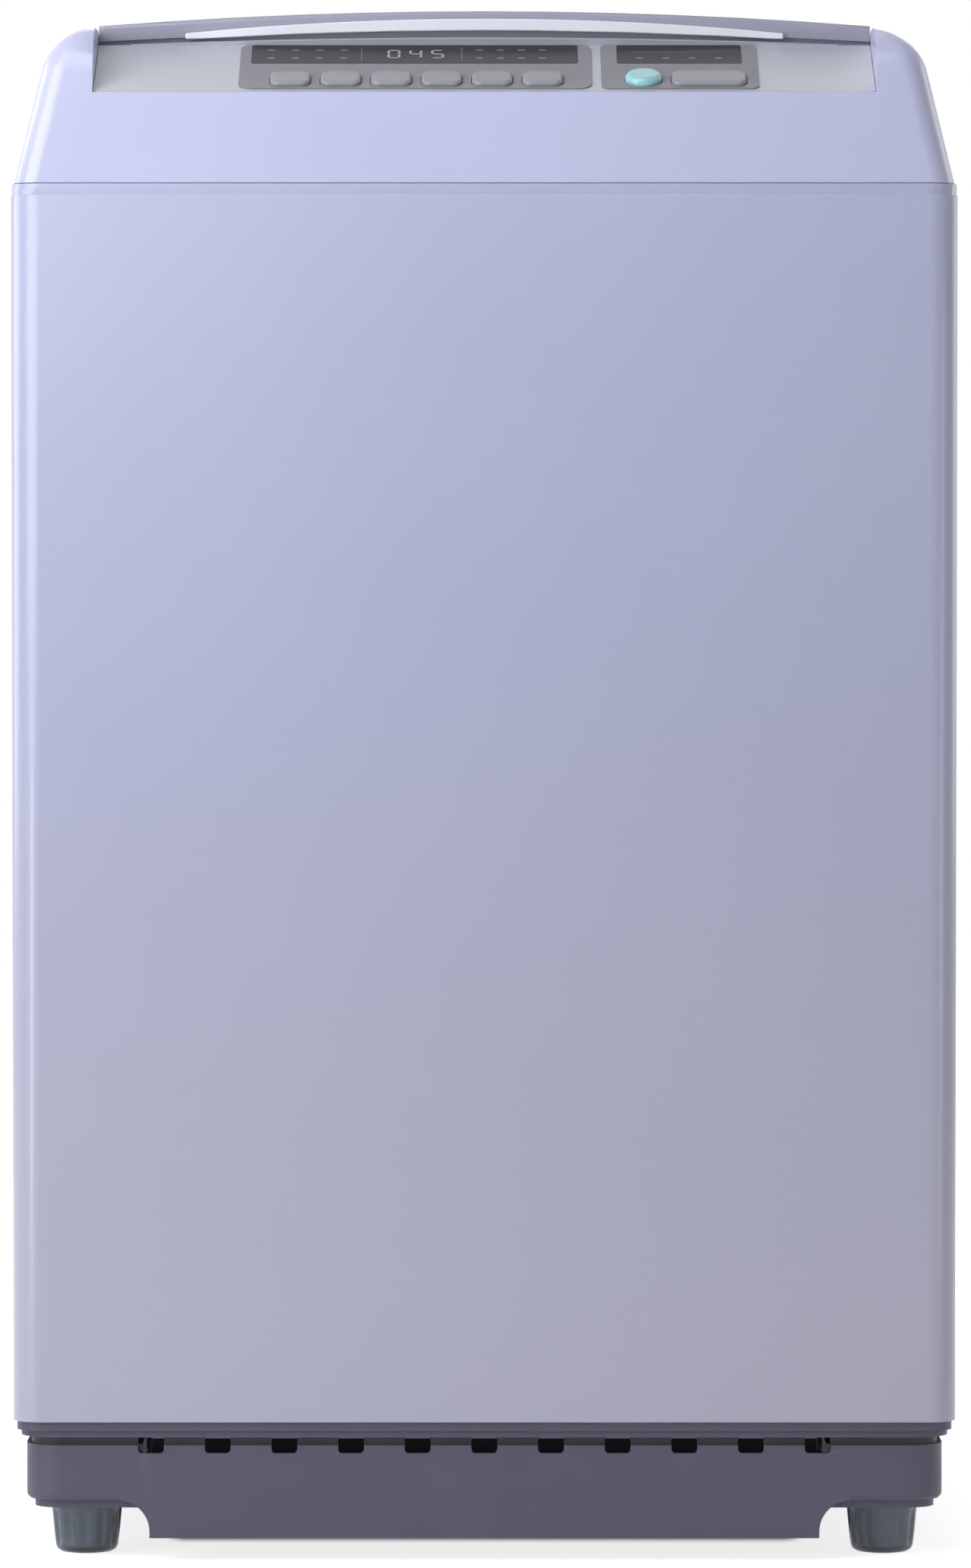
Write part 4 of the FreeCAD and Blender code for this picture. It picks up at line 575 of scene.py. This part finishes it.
def islands(node):
    """Boxes (low, high) of the separate solids in a frame node."""
    shape = welded(node)
    known = set()
    boxes = []
    for first in shape.verts:
        if first in known:
            continue
        seen = {first}
        edge_of = [first]
        while edge_of:
            vertex = edge_of.pop()
            for edge in vertex.link_edges:
                other = edge.other_vert(vertex)
                if other not in seen:
                    seen.add(other)
                    edge_of.append(other)
        known |= seen
        places = [vertex.co for vertex in seen]
        boxes.append((Vector(map(min, zip(*places))), Vector(map(max, zip(*places)))))
    shape.free()
    return boxes


# ---------------------------------------------------------------- operators

class WASHER_OT_finishes(bpy.types.Operator):
    """Gives every node of the frame its finish"""
    bl_idname = "washer.finishes"
    bl_label = "Finishes"

    def execute(self, context):
        for make, names in FINISHES.items():
            material = make().material
            for name in names:
                NODES[name].data.materials.clear()
                NODES[name].data.materials.append(material)
        missed = [name for name in NODES if name not in sum(FINISHES.values(), [])]
        if missed:
            raise RuntimeError("no finish for %s" % missed)
        return {"FINISHED"}


class WASHER_OT_mouldings(bpy.types.Operator):
    """Smooth curves and soft edges for the outer pieces"""
    bl_idname = "washer.mouldings"
    bl_label = "Outer mouldings"

    def execute(self, context):
        sizes = context.scene.washer_sizes
        eased("cabinet_shell", sizes.sheet_edge, level_too=False)
        eased("rear_panel", sizes.sheet_edge)
        for name in ("top_cover", "lid", "base_frame", "lid_grip"):
            eased(name, sizes.edge)
        return {"FINISHED"}


class WASHER_OT_feet(bpy.types.Operator):
    """Fluted rubber cups of the four feet"""
    bl_idname = "washer.feet"
    bl_label = "Rubber feet"

    def execute(self, context):
        sizes = context.scene.washer_sizes
        for node in ("foot_front_left", "foot_rear_left", "foot_rear_right", "levelling_foot"):
            fluted_foot(node, sizes.flute_count, sizes.flute_depth)
        return {"FINISHED"}


def fluted_foot(node, flutes, depth):
    """The turned rubber cup of a foot, with grip flutes dented into its side."""
    low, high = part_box(node)
    centre = (low + high) / 2
    tall = (high.z - low.z) / MM
    fixed = tall > 40
    # A fixed foot has a neck that stands in the base, the levelling foot a hole for its stud.
    neck = [(11, 32.4), (11, tall), (0, tall)] if fixed else [(5.1, 32.4), (5.1, 14), (0, 14)]
    shape = lathe([
        (0, 0.9), (6.5, 0.9), (7.3, 0), (13.2, 0), (16.2, 0.5), (18.3, 1.9), (19.4, 4.2),
        (19.7, 6.2), (20.0, 8.5), (20.4, 12), (20.9, 17), (21.3, 21.5), (21.6, 25), (21.9, 27.6),
        (22, 28.6), (22, 31.4), (21.4, 32.4),
    ] + neck, flutes * 10, (centre.x, centre.y, 0))
    inner, bottom, top = 18 * MM, 4, 28
    for vertex in shape.verts:
        height = vertex.co.z / MM
        out = Vector((vertex.co.x - centre.x, vertex.co.y - centre.y, 0))
        if out.length > inner and bottom < height < top:
            turn = math.atan2(out.y, out.x) * flutes
            fade = min(1.0, (height - bottom) / 4, (top - height) / 2)
            dent = max(0.0, math.cos(turn)) ** 0.6 * depth * fade
            vertex.co -= out.normalized() * dent
    finished(shape, node + "_cup", node, finish_of(node), angle=50)


class WASHER_OT_display(bpy.types.Operator):
    """Digits and lamps of the control panel"""
    bl_idname = "washer.display"
    bl_label = "Display and lamps"

    def execute(self, context):
        height = context.scene.washer_sizes.digit
        glow, lens, mark = lit_bar().material, lamp_lens().material, window_print().material
        lamp, rule = (4.6 * MM, 1.8 * MM), 0.5 * MM
        bars = []
        for index, text in enumerate("045"):
            bars += digit(text, (88 + 13.5 * index) * MM, 16.2 * MM, height)
        plates("time_digits", "display_window", bars, 0.08, glow)
        lamps = []
        for start, pitch in ((12, 15), (141, 13)):
            lamps += [pill((start + pitch * column) * MM, (9 + 14 * row) * MM, *lamp)
                      for column in range(4) for row in range(2)]
        plates("display_lamps", "display_window", lamps, 0.07, lens)
        frames = [pill(x * MM, 16 * MM, rule, 24 * MM) for x in (68, 130)]
        plates("display_rules", "display_window", frames, 0.05, mark)
        lamps = [pill((14 + 16.3 * column) * MM, 9 * MM, *lamp) for column in range(4)]
        plates("status_lamps", "status_window", lamps, 0.07, lens)
        plates("status_rule", "status_window", [pill(38 * MM, 20 * MM, 60 * MM, rule)], 0.05, mark)
        window = Vector(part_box("display_window")[0])
        dots = []
        for number in range(1, 7):
            low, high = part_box("programme_key_%d" % number)
            dots.append(pill((low.x + high.x) / 2 - window.x, -9 * MM, 7 * MM, 1.5 * MM))
        plates("key_lamps", "display_window", dots, 0.35, lens, start=-0.5)
        return {"FINISHED"}


class WASHER_OT_basket(bpy.types.Operator):
    """Perforated stainless wall of the basket"""
    bl_idname = "washer.basket"
    bl_label = "Perforated basket"

    def execute(self, context):
        sizes = context.scene.washer_sizes
        low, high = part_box("basket_wall")
        radius = (high.x - low.x) / 2
        around = round(math.tau * radius / sizes.hole_pitch)
        up = round((high.z - low.z) / sizes.hole_pitch)
        shape = bmesh.new()
        bmesh.ops.create_grid(shape, x_segments=around, y_segments=up, size=0.5)
        for vertex in shape.verts:
            turn = (vertex.co.x + 0.5) * math.tau
            height = low.z + (vertex.co.y + 0.5) * (high.z - low.z)
            vertex.co = (radius * math.cos(turn), radius * math.sin(turn), height)
        bmesh.ops.remove_doubles(shape, verts=shape.verts, dist=1e-5)
        row = (high.z - low.z) / up
        # Rows that stay plain: both rims, and two bands round the wall.
        plain = (0, 1, 2, 9, 10, up - 11, up - 10, up - 3, up - 2, up - 1)
        holes = [face for face in shape.faces
                 if int((face.calc_center_median().z - low.z) / row) not in plain]
        bmesh.ops.inset_individual(shape, faces=holes,
                                   thickness=(sizes.hole_pitch - sizes.hole_width) / 2)
        corners = list(dict.fromkeys(vertex for face in holes for vertex in face.verts))
        # Cutting this share off each corner makes a square hole a near regular octagon.
        cut = 0.29
        bmesh.ops.bevel(shape, geom=corners, offset=sizes.hole_width * cut, affect="VERTICES",
                        segments=1, profile=0.5, material=-1)
        mouths = [face for face in shape.faces if len(face.verts) == 8]
        bmesh.ops.delete(shape, geom=mouths, context="FACES_ONLY")
        bmesh.ops.recalc_face_normals(shape, faces=shape.faces)
        wall = finished(shape, "basket_wall_perforated", "basket_wall", finish_of("basket_wall"))
        sheet = wall.modifiers.new("sheet", "SOLIDIFY")
        sheet.thickness = SHEET
        sheet.offset = -1.0
        return {"FINISHED"}


class WASHER_OT_rear(bpy.types.Operator):
    """Screw heads, inlet thread and drain barbs at the back"""
    bl_idname = "washer.rear"
    bl_label = "Rear fittings"

    def execute(self, context):
        shape = bmesh.new()
        for low, high in islands("rear_screws"):
            flanged_screw(shape, (low + high) / 2, low.y, (high.x - low.x) / 2, high.y - low.y)
        finished(shape, "rear_screw_heads", "rear_screws", finish_of("rear_screws"))
        inlet_thread()
        low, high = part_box("drain_outlet")
        # Radius, and distance from the spigot's end, of the points of its two barbs.
        points = [(15.9, 9.6), (17.1, 7.4), (17.1, 6.9), (15.9, 6.7),
                  (15.9, 4.6), (17.1, 2.4), (17.1, 1.9), (15.9, 1.7)]
        rear = high.y / MM
        barbs = lathe([(radius, rear - back) for radius, back in points],
                      64, ((low.x + high.x) / 2, 0, (low.z + high.z) / 2), along="Y")
        finished(barbs, "drain_barbs", "drain_outlet", finish_of("drain_outlet"), hides=False)
        return {"FINISHED"}


def flanged_screw(shape, centre, seat, radius, height):
    """Adds a hexagonal head with a flange and a socket to a bmesh; it stands out along +Y."""
    lean = Matrix.Rotation(-math.pi / 2, 4, "X")
    # The head starts just inside the flange, so that the two have no gap.
    rim, start, across = 0.9 * MM, 0.8 * MM, radius * 0.78
    flange = Matrix.Translation((centre.x, seat + rim / 2, centre.z)) @ lean
    bmesh.ops.create_cone(shape, segments=28, radius1=radius, radius2=radius * 0.93, depth=rim,
                          cap_ends=True, matrix=flange)
    head = Matrix.Translation((centre.x, seat + (height + start) / 2, centre.z)) @ lean
    made = bmesh.ops.create_cone(shape, segments=6, radius1=across, radius2=across,
                                 depth=height - start, cap_ends=True, matrix=head)
    faces = {face for vertex in made["verts"] for face in vertex.link_faces}
    top = max(faces, key=lambda face: face.calc_center_median().y)
    bmesh.ops.inset_region(shape, faces=[top], thickness=radius * 0.12, depth=0.25 * MM)
    bmesh.ops.inset_region(shape, faces=[top], thickness=radius * 0.22, depth=0.0)
    bmesh.ops.inset_region(shape, faces=[top], thickness=radius * 0.04, depth=-1.1 * MM)


def inlet_thread():
    """The rolled thread on the inlet spigot."""
    low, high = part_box("inlet_valve")
    pitch, start, root = 1.8 * MM, high.y - 9.4 * MM, 13.15 * MM
    middle = (SPIGOT_X, 0, SPIGOT_Z)
    shape = bmesh.new()
    corners = [shape.verts.new((root, start, 0)), shape.verts.new((root, start + pitch * 0.7, 0)),
               shape.verts.new((root + 0.4 * MM, start + pitch * 0.35, 0))]
    edges = [shape.edges.new((corners[index - 1], corners[index])) for index in range(3)]
    turns, steps = 4.5, 36
    bmesh.ops.spin(shape, geom=corners + edges, cent=(0, 0, 0), axis=(0, 1, 0),
                   angle=math.tau * turns, dvec=(0, pitch / steps, 0), steps=int(turns * steps))
    bmesh.ops.holes_fill(shape, edges=shape.edges)
    bmesh.ops.recalc_face_normals(shape, faces=shape.faces)
    bmesh.ops.translate(shape, verts=shape.verts, vec=middle)
    finished(shape, "inlet_thread", "inlet_valve", finish_of("inlet_valve"), hides=False)


class WASHER_OT_stage(bpy.types.Operator):
    """Floor, lights, world and camera"""
    bl_idname = "washer.stage"
    bl_label = "Stage"

    def execute(self, context):
        make_floor()
        make_lights()
        make_world()
        make_camera(context.scene.washer_stage)
        return {"FINISHED"}


def make_floor():
    """A pale floor that keeps the machine's shadow."""
    shape = bmesh.new()
    bmesh.ops.create_grid(shape, x_segments=1, y_segments=1, size=6.0)
    mesh = bpy.data.meshes.new("studio_floor")
    shape.to_mesh(mesh)
    shape.free()
    floor = bpy.data.objects.new("studio_floor", mesh)
    bpy.context.scene.collection.objects.link(floor)
    # Pale painted studio floor; its own glow lifts it to white where nothing shades it.
    paint = Finish("studio_paint", "e9eaec", 0.9, Specular_IOR_Level=0.0).drift(600, "e6e7ea")
    glow = paint.add("ShaderNodeMath", {0: seen_directly(paint.tree), 1: under_cover(paint)},
                     operation="MULTIPLY").outputs[0]
    paint.shader.inputs["Emission Color"].default_value = (1, 1, 1, 1)
    paint.tree.links.new(glow, paint.shader.inputs["Emission Strength"])
    mesh.materials.append(paint.material)


def seen_directly(tree):
    """1 for camera, glossy and transmission rays, so that metal and glass show the background."""
    rays = add(tree, "ShaderNodeLightPath").outputs
    mirrored = add(tree, "ShaderNodeMath", {
        0: rays["Is Glossy Ray"], 1: rays["Is Transmission Ray"]}, operation="MAXIMUM").outputs[0]
    return add(tree, "ShaderNodeMath", {0: rays["Is Camera Ray"], 1: mirrored},
               operation="MAXIMUM").outputs[0]


def under_cover(paint):
    """The floor's glow: less near the machine, so that its shadow shows, and none beneath it; there
    the floor's colour is painted dark too, a painted shadow under and just behind the machine.
    """
    low, high = (Vector(corner) for corner in CAD_BOX)
    split = paint.add("ShaderNodeSeparateXYZ", {0: paint.place})
    side = paint.add("ShaderNodeMath", {0: split.outputs[0]}, operation="ABSOLUTE").outputs[0]
    reach = paint.add("ShaderNodeVectorMath", {0: paint.place}, operation="LENGTH").outputs["Value"]
    # The dark patch widens towards the rear, so that the floor stays white beside the front feet.
    widening = -0.16
    lean = paint.add("ShaderNodeMath", {0: split.outputs[1], 1: widening, 2: side},
                     operation="MULTIPLY_ADD").outputs[0]
    # Where the patch begins and where it is full: at its sides, its front and its rear.
    edges = ((lean, high.x - 0.058, high.x - 0.072),
             (split.outputs[1], low.y + 0.09, low.y + 0.128),
             (split.outputs[1], high.y + 0.08, high.y + 0.045))
    inside = 1.0
    for value, start, end in edges:
        fade = paint.add("ShaderNodeMapRange", {"Value": value, "From Min": start, "From Max": end},
                         interpolation_type="SMOOTHSTEP").outputs[0]
        inside = paint.add("ShaderNodeMath", {0: inside, 1: fade}, operation="MULTIPLY").outputs[0]
    near, far = 0.7, 2.0
    open_glow = paint.add("ShaderNodeMapRange", {
        "Value": reach, "From Min": near, "From Max": far,
        "To Min": GLOW, "To Max": 1.0}).outputs[0]
    outside = paint.add("ShaderNodeMath", {0: 1.0, 1: inside}, operation="SUBTRACT").outputs[0]
    base = paint.shader.inputs["Base Color"]
    # Painted shadow: in the patch the floor's own colour turns near black, so that the floor seen
    # under the machine and through its vents stays dark.
    shaded = linear("242429")
    colours = paint.add("ShaderNodeMix", {0: inside, 6: base.links[0].from_socket, 7: shaded},
                        data_type="RGBA")
    paint.tree.links.new(colours.outputs[2], base)
    return paint.add("ShaderNodeMath", {0: open_glow, 1: outside}, operation="MULTIPLY").outputs[0]


def make_lights():
    """Soft panels: name, place, aim, width, height, watts, colour."""
    panels = [
        ("key_panel", (-1.25, -1.35, 1.5), (0, -0.3, 0.7), 1.2, 1.4, 23, "f4f6ff"),
        ("crown_panel", (-0.4, -1.1, 2.3), (0, -0.3, 0.85), 1.6, 1.0, 12, "f4f7ff"),
        ("left_edge_panel", (-1.75, -1.95, 0.42), (-0.28, -0.28, 0.4), 0.2, 0.84, 8, "ffffff"),
        ("right_edge_panel", (1.74, -1.5, 0.6), (0.28, -0.28, 0.5), 0.2, 1.6, 5, "ffffff"),
        ("left_panel", (-2.3, 0.9, 1.3), (-0.29, 0, 0.5), 1.2, 1.6, 14, "ffffff"),
        ("right_panel", (2.3, 0.9, 1.3), (0.29, 0, 0.5), 1.2, 1.6, 12, "ffffff"),
        ("back_panel", (0.5, 3.2, 2.6), (0, 0.3, 0.6), 2.2, 1.4, 18, "ffffff"),
    ]
    for name, place, aim, width, height, watts, colour in panels:
        lamp = bpy.data.lights.new(name, "AREA")
        lamp.shape = "RECTANGLE"
        lamp.size = width
        lamp.size_y = height
        lamp.energy = watts
        lamp.color = linear(colour)[:3]
        item = bpy.data.objects.new(name, lamp)
        item.location = place
        item.rotation_euler = (Vector(aim) - Vector(place)).to_track_quat("-Z", "Y").to_euler()
        bpy.context.scene.collection.objects.link(item)


def make_world():
    """A faint studio fill that looks white itself."""
    world = bpy.data.worlds.new("studio")
    bpy.context.scene.world = world
    world.use_nodes = True
    tree = world.node_tree
    tree.nodes.clear()
    lit = add(tree, "ShaderNodeBackground", {"Color": linear("e6e8f2"), "Strength": 0.05})
    white = add(tree, "ShaderNodeBackground", {"Color": (1, 1, 1, 1), "Strength": 1.0})
    mixed = add(tree, "ShaderNodeMixShader", {
        0: seen_directly(tree), 1: lit.outputs[0], 2: white.outputs[0]})
    add(tree, "ShaderNodeOutputWorld", {"Surface": mixed.outputs[0]})


def make_camera(view):
    """A level camera before the machine that frames its full height."""
    low, high = (Vector(corner) for corner in CAD_BOX)
    front = low.y
    data = bpy.data.cameras.new("camera")
    camera = bpy.data.objects.new("camera", data)
    bpy.context.scene.collection.objects.link(camera)
    beside = 0.7 * MM
    middle = (low.x + high.x) / 2 + beside
    camera.location = (middle, front - view.distance, view.height)
    aim = Vector((middle, front, view.aim)) - camera.location
    camera.rotation_euler = aim.to_track_quat("-Z", "Y").to_euler()
    data.sensor_width = 36
    data.lens = data.sensor_width / 2 / (view.framed / 2 / aim.length)
    data.clip_start = 0.1
    data.clip_end = 60
    bpy.context.scene.camera = camera


class WASHER_PT_panel(bpy.types.Panel):
    """Lists the washer's steps and sizes"""
    bl_idname = "WASHER_PT_panel"
    bl_label = "Washer"
    bl_space_type = "VIEW_3D"
    bl_region_type = "UI"
    bl_category = "Washer"

    def draw(self, context):
        for operator in OPERATORS:
            self.layout.operator(operator.bl_idname)
        for field in GROUPS:
            group = getattr(context.scene, field)
            for name in group.__annotations__:
                self.layout.prop(group, name)


GROUPS = {
    "washer_sizes": WasherSizes,
    "washer_colours": WasherColours,
    "washer_stage": WasherStage,
}
OPERATORS = [
    WASHER_OT_finishes, WASHER_OT_mouldings, WASHER_OT_feet, WASHER_OT_display,
    WASHER_OT_basket, WASHER_OT_rear, WASHER_OT_stage,
]


def register():
    for kind in (*GROUPS.values(), *OPERATORS, WASHER_PT_panel):
        bpy.utils.register_class(kind)
    for name, group in GROUPS.items():
        setattr(bpy.types.Scene, name, bpy.props.PointerProperty(type=group))


def unregister():
    for name in GROUPS:
        delattr(bpy.types.Scene, name)
    for kind in (WASHER_PT_panel, *reversed(OPERATORS), *GROUPS.values()):
        bpy.utils.unregister_class(kind)


def main():
    register()
    bpy.context.scene.view_settings.view_transform = "Standard"
    for operator in OPERATORS:
        group, name = operator.bl_idname.split(".")
        getattr(getattr(bpy.ops, group), name)()


if __name__ == "__main__":
    main()
